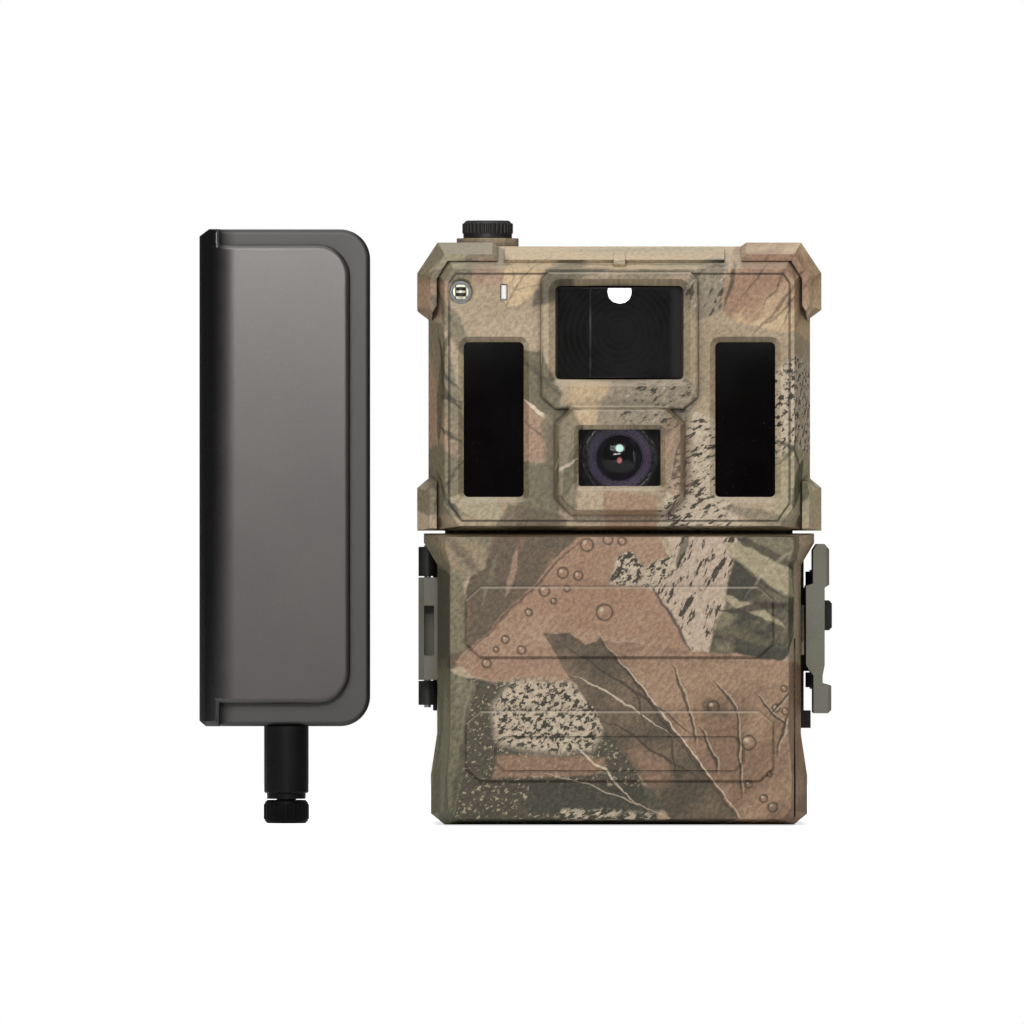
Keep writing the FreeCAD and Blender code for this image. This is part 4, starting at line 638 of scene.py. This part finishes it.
def window(name, tone, roughness, specular):
    """Glossy dark window with a faint haze and a little dust."""
    graph = Graph(name, Specular_IOR_Level=specular)
    haze = graph.noise(0.12, detail=3.0)
    dust = graph.noise(3.5, detail=1.0)
    colour = graph.mix(haze.rise(0.35, 0.65), tone, [1.5 * part for part in tone])
    colour = graph.mix(dust.rise(0.74, 0.8, 0.0, 0.08), colour, (0.5, 0.5, 0.48))
    graph.relief((haze, 0.0006))
    return graph.paint(Base_Color=colour, Roughness=haze.rise(0.3, 0.7, roughness, 1.3 * roughness))


def fresnel_window():
    """Sensor window: black polythene, polished where it shows and matt on its hidden frame, with a painted
    highlight line left of its middle and a painted reflection band along its right side.
    """
    pane_half, pane_low, pane_high = 14.9, 107.7, 129.2
    ring_centre, ring_pitch = 118.5, 1.5
    graph = Graph("fresnel_black", Specular_IOR_Level=0.5)
    x, _, z = graph.split(graph.place)
    x = x - middle_of("pir_lens").x
    out = graph.vector("LENGTH", graph.combine(x, 0.0, z - ring_centre))
    rings = (out * (2.0 * math.pi / ring_pitch)).sine()
    haze = graph.noise(0.12, detail=3.0)
    highlight_line = abs(x + 7.0).rise(0.35, 0.1) * haze.rise(0.4, 0.6, 0.2, 1.0)
    edge = x.rise(11.5, 13.5)
    colour = graph.mix(haze.rise(0.35, 0.65), srgb(17, 17, 17), srgb(26, 26, 26))
    colour = graph.mix(rings.rise(0.2, 1.0, 0.0, 0.4), colour, srgb(33, 33, 33))
    # painted reflection: a lighter band along the right side of the window
    colour = graph.mix(edge, colour, srgb(44, 44, 44))
    # painted highlight: a thin light line where a facet edge of the window catches the light
    colour = graph.mix(highlight_line * 0.5, colour, srgb(90, 90, 88))
    hidden = abs(x).rise(pane_half - 0.1, pane_half).most(z.rise(pane_high - 0.1, pane_high))
    hidden = hidden.most(z.rise(pane_low + 0.1, pane_low))
    graph.relief((haze, 0.0004))
    return graph.paint(Base_Color=graph.mix(hidden, colour, srgb(12, 12, 12)), Roughness=hidden * 0.6)


def clear(name, tone, tint_share=0.0):
    """Clear coated glass or plastic."""
    graph = Graph(name, IOR=1.49, Transmission_Weight=1.0)
    haze = graph.noise(0.4, detail=3.0)
    colour = graph.mix(haze.rise(0.4, 0.7, 0.0, 1.0), tone, [0.97 * part for part in tone])
    graph.relief((haze, 0.001))
    return graph.paint(Base_Color=colour, Roughness=haze.rise(0.4, 0.8, 0.01, 0.03))


def board(name):
    """Printed circuit board: solder mask with copper runs and pads showing through."""
    graph = Graph(name, Specular_IOR_Level=0.5)
    x, y, z = graph.split(graph.place)
    lanes = ((x * 2.4).sine() * (z * 0.35).sine()).rise(0.25, 0.35)
    pads = graph.cells(0.35).rise(0.16, 0.1)
    colour = graph.mix(lanes * 0.5, srgb(14, 62, 38), srgb(30, 98, 60))
    colour = graph.mix(pads, colour, srgb(206, 186, 120))
    graph.relief((lanes, 0.03), (pads, 0.03), edge=0.1)
    roughness = graph.noise(0.8).rise(0.3, 0.7, 0.3, 0.42)
    return graph.paint(Base_Color=colour, Metallic=pads * 0.8, Roughness=roughness)


def coated_glass():
    """Front lens element: near black, violet towards the rim, with two painted highlights inside, dots that
    glow like reflections of lamps.
    """
    middle = middle_of("lens_front_element")
    graph = Graph("dark_glass", Specular_IOR_Level=0.35)
    x, _, z = graph.split(graph.place)
    x, z = x - middle.x, z - middle.z
    out = graph.vector("LENGTH", graph.combine(x, 0.0, z))
    haze = graph.noise(0.6, detail=2.0)
    colour = graph.mix(out.rise(3.4, 5.2), srgb(3, 3, 5), srgb(34, 26, 44))
    # painted highlights: two glowing dots, a cyan-white upper one and a pinkish lower one, standing in for
    # reflections of lamps
    upper = graph.vector("LENGTH", graph.combine(x, 0.0, z - 2.3)).rise(1.15, 0.75)
    lower = graph.vector("LENGTH", graph.combine(x * 1.2, 0.0, z + 0.6)).rise(0.95, 0.35, 0.0, 0.8)
    painted_highlight_dots = upper.most(lower)
    highlight_tint = graph.mix(upper, srgb(226, 130, 130), srgb(205, 255, 240))
    graph.relief((haze, 0.0004))
    return graph.paint(Base_Color=colour, Emission_Color=highlight_tint, Emission_Strength=painted_highlight_dots * 0.85,
                       Roughness=haze.rise(0.3, 0.7, 0.02, 0.04))


def lens_barrel():
    """Lens barrel: black, with a violet sheen on the slope round the glass."""
    middle = middle_of("lens_barrel")
    graph = Graph("lens_black", Specular_IOR_Level=0.5)
    x, _, z = graph.split(graph.place)
    out = graph.vector("LENGTH", graph.combine(x - middle.x, 0.0, z - middle.z))
    slope = out.rise(5.2, 6.2) * out.rise(8.0, 7.2)
    rings = (out * 9.0).sine().rise(-1.0, 1.0)
    grit = graph.noise(1.6, detail=2.0)
    colour = graph.mix(slope, srgb(14, 12, 14), srgb(92, 80, 104))
    colour = graph.mix(rings * slope * 0.35, colour, srgb(38, 32, 44))
    graph.relief((rings, 0.02), (grit, 0.004), edge=0.08)
    return graph.paint(Base_Color=colour, Roughness=grit.rise(0.3, 0.7, 0.26, 0.34))


def photocell():
    """Light sensor: a dark window with a comb of pale tracks behind it."""
    middle = middle_of("light_sensor")
    graph = Graph("photocell", Specular_IOR_Level=0.6)
    x, _, z = graph.split(graph.place)
    x, z = x - middle.x, z - middle.z
    comb = (z * 4.6 + 1.2).sine().rise(0.1, 0.5) * abs(x).rise(1.25, 1.05)
    rail = abs(x).rise(1.25, 1.4) * abs(z).rise(1.2, 0.9)
    rim = graph.vector("LENGTH", graph.combine(x, 0.0, z)).rise(2.0, 1.75)
    pale = comb.most(rail) * rim
    colour = graph.mix(pale, srgb(24, 22, 20), srgb(214, 214, 190))
    graph.relief((pale, 0.05), edge=0.05)
    return graph.paint(Base_Color=colour, Metallic=pale * 0.3, Roughness=pale.rise(0.0, 1.0, 0.08, 0.25))


def battery_sleeve():
    """Printed battery sleeve: a dark body, a coppery shoulder and bare ends."""
    low, high = [1000.0 * corner[2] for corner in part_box("battery_cells")]
    graph = Graph("battery_sleeve", Specular_IOR_Level=0.5)
    _, _, z = graph.split(graph.place)
    shoulder = z.rise(high - 13.2, high - 12.8)
    bare = z.rise(high - 1.9, high - 1.6).most(z.rise(low + 0.9, low + 0.6))
    rub = graph.noise(0.4, detail=4.0)
    colour = graph.mix(shoulder, srgb(34, 37, 40), srgb(190, 118, 62))
    colour = graph.mix(rub.rise(0.62, 0.75, 0.0, 0.4), colour, srgb(150, 150, 150))
    colour = graph.mix(bare, colour, srgb(196, 196, 192))
    graph.relief((rub, 0.01), edge=0.15)
    return graph.paint(Base_Color=colour, Metallic=bare.most(shoulder * 0.8),
                       Roughness=rub.rise(0.3, 0.7, 0.25, 0.4))


def make_materials():
    """The record's material slots, each with its own finish."""
    return {
        **make_camouflage(),
        "black_plastic": moulded("black_plastic", srgb(34, 34, 34), srgb(24, 24, 25), 0.42),
        "antenna_nut": moulded("nut_black", srgb(12, 13, 13), srgb(8, 9, 9), 0.32,
                               3.0, 0.006, 0.15, 0.12),
        "antenna_plastic": antenna_skin(),
        "antenna_barrel": moulded("barrel_black", srgb(20, 20, 22), srgb(14, 14, 16), 0.3,
                                  3.0, 0.008, 0.2, 0.15),
        "olive_plastic": moulded("olive_plastic", srgb(104, 103, 92), srgb(94, 92, 80), 0.5, 2.4, 0.02, 0.25),
        "seal_rubber": moulded("seal_rubber", srgb(30, 30, 30), srgb(20, 20, 20), 0.7, 1.8, 0.02, 0.1),
        "infrared_black": window("infrared_black", srgb(5, 4, 4), 0.03, 0.1),
        "fresnel_black": fresnel_window(),
        "clear_glass": clear("clear_glass", (0.96, 0.97, 0.98)),
        "dark_glass": coated_glass(),
        "lens_black": lens_barrel(),
        "sensor_metal": metal("sensor_metal", srgb(190, 188, 180), 0.3),
        "circuit_board": board("circuit_board"),
        "module_metal": metal("module_metal", srgb(176, 178, 180), 0.35),
        "led_clear": window("led_clear", srgb(150, 150, 160), 0.1, 0.5),
        "photocell": photocell(),
        "light_pipe": moulded("light_pipe", srgb(238, 238, 236), srgb(214, 214, 212), 0.3, 1.0, 0.004, 0.1),
        "sensor_chip": window("sensor_chip", srgb(40, 30, 52), 0.1, 0.5),
        "filter_glass": clear("filter_glass", (0.7, 0.92, 0.9)),
        "brass": metal("brass", srgb(214, 176, 96), 0.22, (1.0, 1.0, 3.0)),
        "insert_brass": metal("insert_brass", srgb(186, 156, 96), 0.35, (1.0, 1.0, 3.0)),
        "steel": metal("steel", srgb(190, 190, 188), 0.25),
        "screen_glass": window("screen_glass", srgb(22, 25, 27), 0.06, 0.5),
        "lcd_module": metal("lcd_module", srgb(150, 150, 154), 0.35),
        "key_rubber": moulded("key_rubber", srgb(74, 74, 72), srgb(62, 62, 60), 0.62, 1.8, 0.02, 0.3),
        "card_plastic": moulded("card_plastic", srgb(34, 52, 94), srgb(26, 40, 76), 0.42, 2.0, 0.01, 0.15),
        "sim_plastic": moulded("sim_plastic", srgb(228, 226, 218), srgb(214, 212, 204), 0.4, 2.0, 0.006, 0.1),
        "switch_plastic": moulded("switch_plastic", srgb(200, 198, 188), srgb(184, 182, 172), 0.45,
                                  2.0, 0.01, 0.15),
        "panel_plastic": moulded("panel_plastic", srgb(46, 48, 46), srgb(36, 38, 36), 0.5, 2.2, 0.04, 0.2),
        "tray_plastic": moulded("tray_plastic", srgb(48, 48, 47), srgb(38, 38, 38), 0.5, 2.0, 0.03, 0.2),
        "battery_sleeve": battery_sleeve(),
        "contact_steel": metal("contact_steel", srgb(208, 206, 198), 0.2),
    }


def dress_nodes(materials):
    """Give every CAD node the material of its slot."""
    for part in frame["record"]["subparts"]:
        item = frame["nodes"][part["node"]]
        item.data.materials.clear()
        item.data.materials.append(materials.get(part["node"], materials[part["material_slot"]]))


# ---------------------------------------------------------------- stage, light, camera

def aim(item, target):
    item.rotation_euler = (Vector(target) - item.location).to_track_quat("-Z", "Y").to_euler()


def softbox(name, place, target, width, height, power, tint=(1.0, 1.0, 1.0), shape="RECTANGLE"):
    data = bpy.data.lights.new(name, "AREA")
    data.shape = shape
    data.size = width
    data.size_y = height
    data.energy = power
    data.color = tint
    lamp = bpy.data.objects.new(name, data)
    lamp.location = place
    bpy.context.collection.objects.link(lamp)
    aim(lamp, target)
    return lamp


def make_floor():
    """A round pale floor, brightened for the camera alone so that it melts into the room."""
    reach = 0.62
    sides = 96
    centre_x, centre_y = -0.025, -0.03
    mesh = bpy.data.meshes.new("floor")
    turn = [2.0 * math.pi * step / sides for step in range(sides)]
    rim = [(reach * math.cos(angle) + centre_x, reach * math.sin(angle) + centre_y, 0.0) for angle in turn]
    mesh.from_pydata(rim, [], [tuple(range(sides))])
    floor = bpy.data.objects.new("floor", mesh)
    bpy.context.collection.objects.link(floor)
    graph = Graph("floor_paper", Specular_IOR_Level=0.1)
    fibre = graph.noise(0.4, detail=3.0)
    seen = Field(graph, graph.node("ShaderNodeLightPath").outputs["Is Camera Ray"])
    mesh.materials.append(graph.paint(
        Base_Color=graph.mix(fibre.rise(0.3, 0.7), (0.9, 0.9, 0.9), (0.93, 0.93, 0.93)), Roughness=0.9,
        Emission_Color=(1.0, 1.0, 1.0), Emission_Strength=seen * 0.7))


def make_room():
    """Surroundings that are white for the camera and light the object only faintly."""
    world = bpy.data.worlds.new("room")
    bpy.context.scene.world = world
    world.use_nodes = True
    nodes, links = world.node_tree.nodes, world.node_tree.links
    nodes.clear()
    output = nodes.new("ShaderNodeOutputWorld")
    seen, lighting = nodes.new("ShaderNodeBackground"), nodes.new("ShaderNodeBackground")
    seen.inputs["Color"].default_value = (1.0, 1.0, 1.0, 1.0)
    seen.inputs["Strength"].default_value = 1.0
    lighting.inputs["Color"].default_value = (0.98, 0.99, 1.0, 1.0)
    lighting.inputs["Strength"].default_value = 0.08
    path, mixer = nodes.new("ShaderNodeLightPath"), nodes.new("ShaderNodeMixShader")
    links.new(path.outputs["Is Camera Ray"], mixer.inputs["Fac"])
    links.new(lighting.outputs[0], mixer.inputs[1])
    links.new(seen.outputs[0], mixer.inputs[2])
    links.new(mixer.outputs[0], output.inputs["Surface"])


def make_lights(middle):
    """A broad key from above the front, weaker boxes round the object and two for single faces."""
    x, y, z = middle
    softbox("key", (x - 0.1, y - 0.95, z + 0.66), (x, y, z + 0.02), 1.0, 0.4, 6.6, (1.0, 0.985, 0.96))
    softbox("top", (x, y - 0.1, z + 0.9), middle, 0.9, 0.5, 3.2)
    softbox("right", (x + 1.05, y - 0.8, z + 0.1), middle, 0.16, 0.8, 1.1, (0.97, 0.98, 1.0))
    softbox("back", (x, y + 0.8, z + 0.8), middle, 0.6, 0.5, 3.0)
    # low over the camera, so that its gloss fades down the aerial's face
    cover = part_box("antenna_front_cover")
    crown = ((cover[0][0] + cover[1][0]) / 2.0, cover[0][1], cover[1][2])
    softbox("sheen", (crown[0], crown[1] - 0.5, crown[2] + 0.06), crown, 0.2, 0.05, 0.75, (1.0, 0.95, 0.93))
    # far off behind the camera, so that the round sensor window narrows it to a small disc at its top
    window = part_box("pir_lens")
    glance = ((window[0][0] + window[1][0]) / 2.0, window[0][1], window[1][2])
    softbox("catch", (glance[0] + 0.03, -4.33, 0.1856), glance, 1.25, 0.0125, 1.6, shape="ELLIPSE")


def make_camera():
    """Look straight at the front, level with its middle, from far enough for little perspective."""
    field = 0.2458
    distance = 4.0
    centre = (cad_box[0][0] + 0.0757, cad_box[0][2] + 0.0754)
    data = bpy.data.cameras.new("camera")
    data.sensor_width = 36.0
    data.lens = 36.0 * distance / field
    data.clip_end = 20.0
    camera = bpy.data.objects.new("camera", data)
    camera.location = (centre[0], FRONT / 1000.0 - distance, centre[1])
    camera.rotation_euler = (math.radians(90.0), 0.0, 0.0)
    bpy.context.collection.objects.link(camera)
    bpy.context.scene.camera = camera


make_camera()
make_floor()
make_room()
make_lights(((cad_box[0][0] + cad_box[1][0]) / 2.0, 0.0, cad_box[1][2] / 2.0))
bpy.context.scene.view_settings.view_transform = "Standard"
dress_nodes(make_materials())
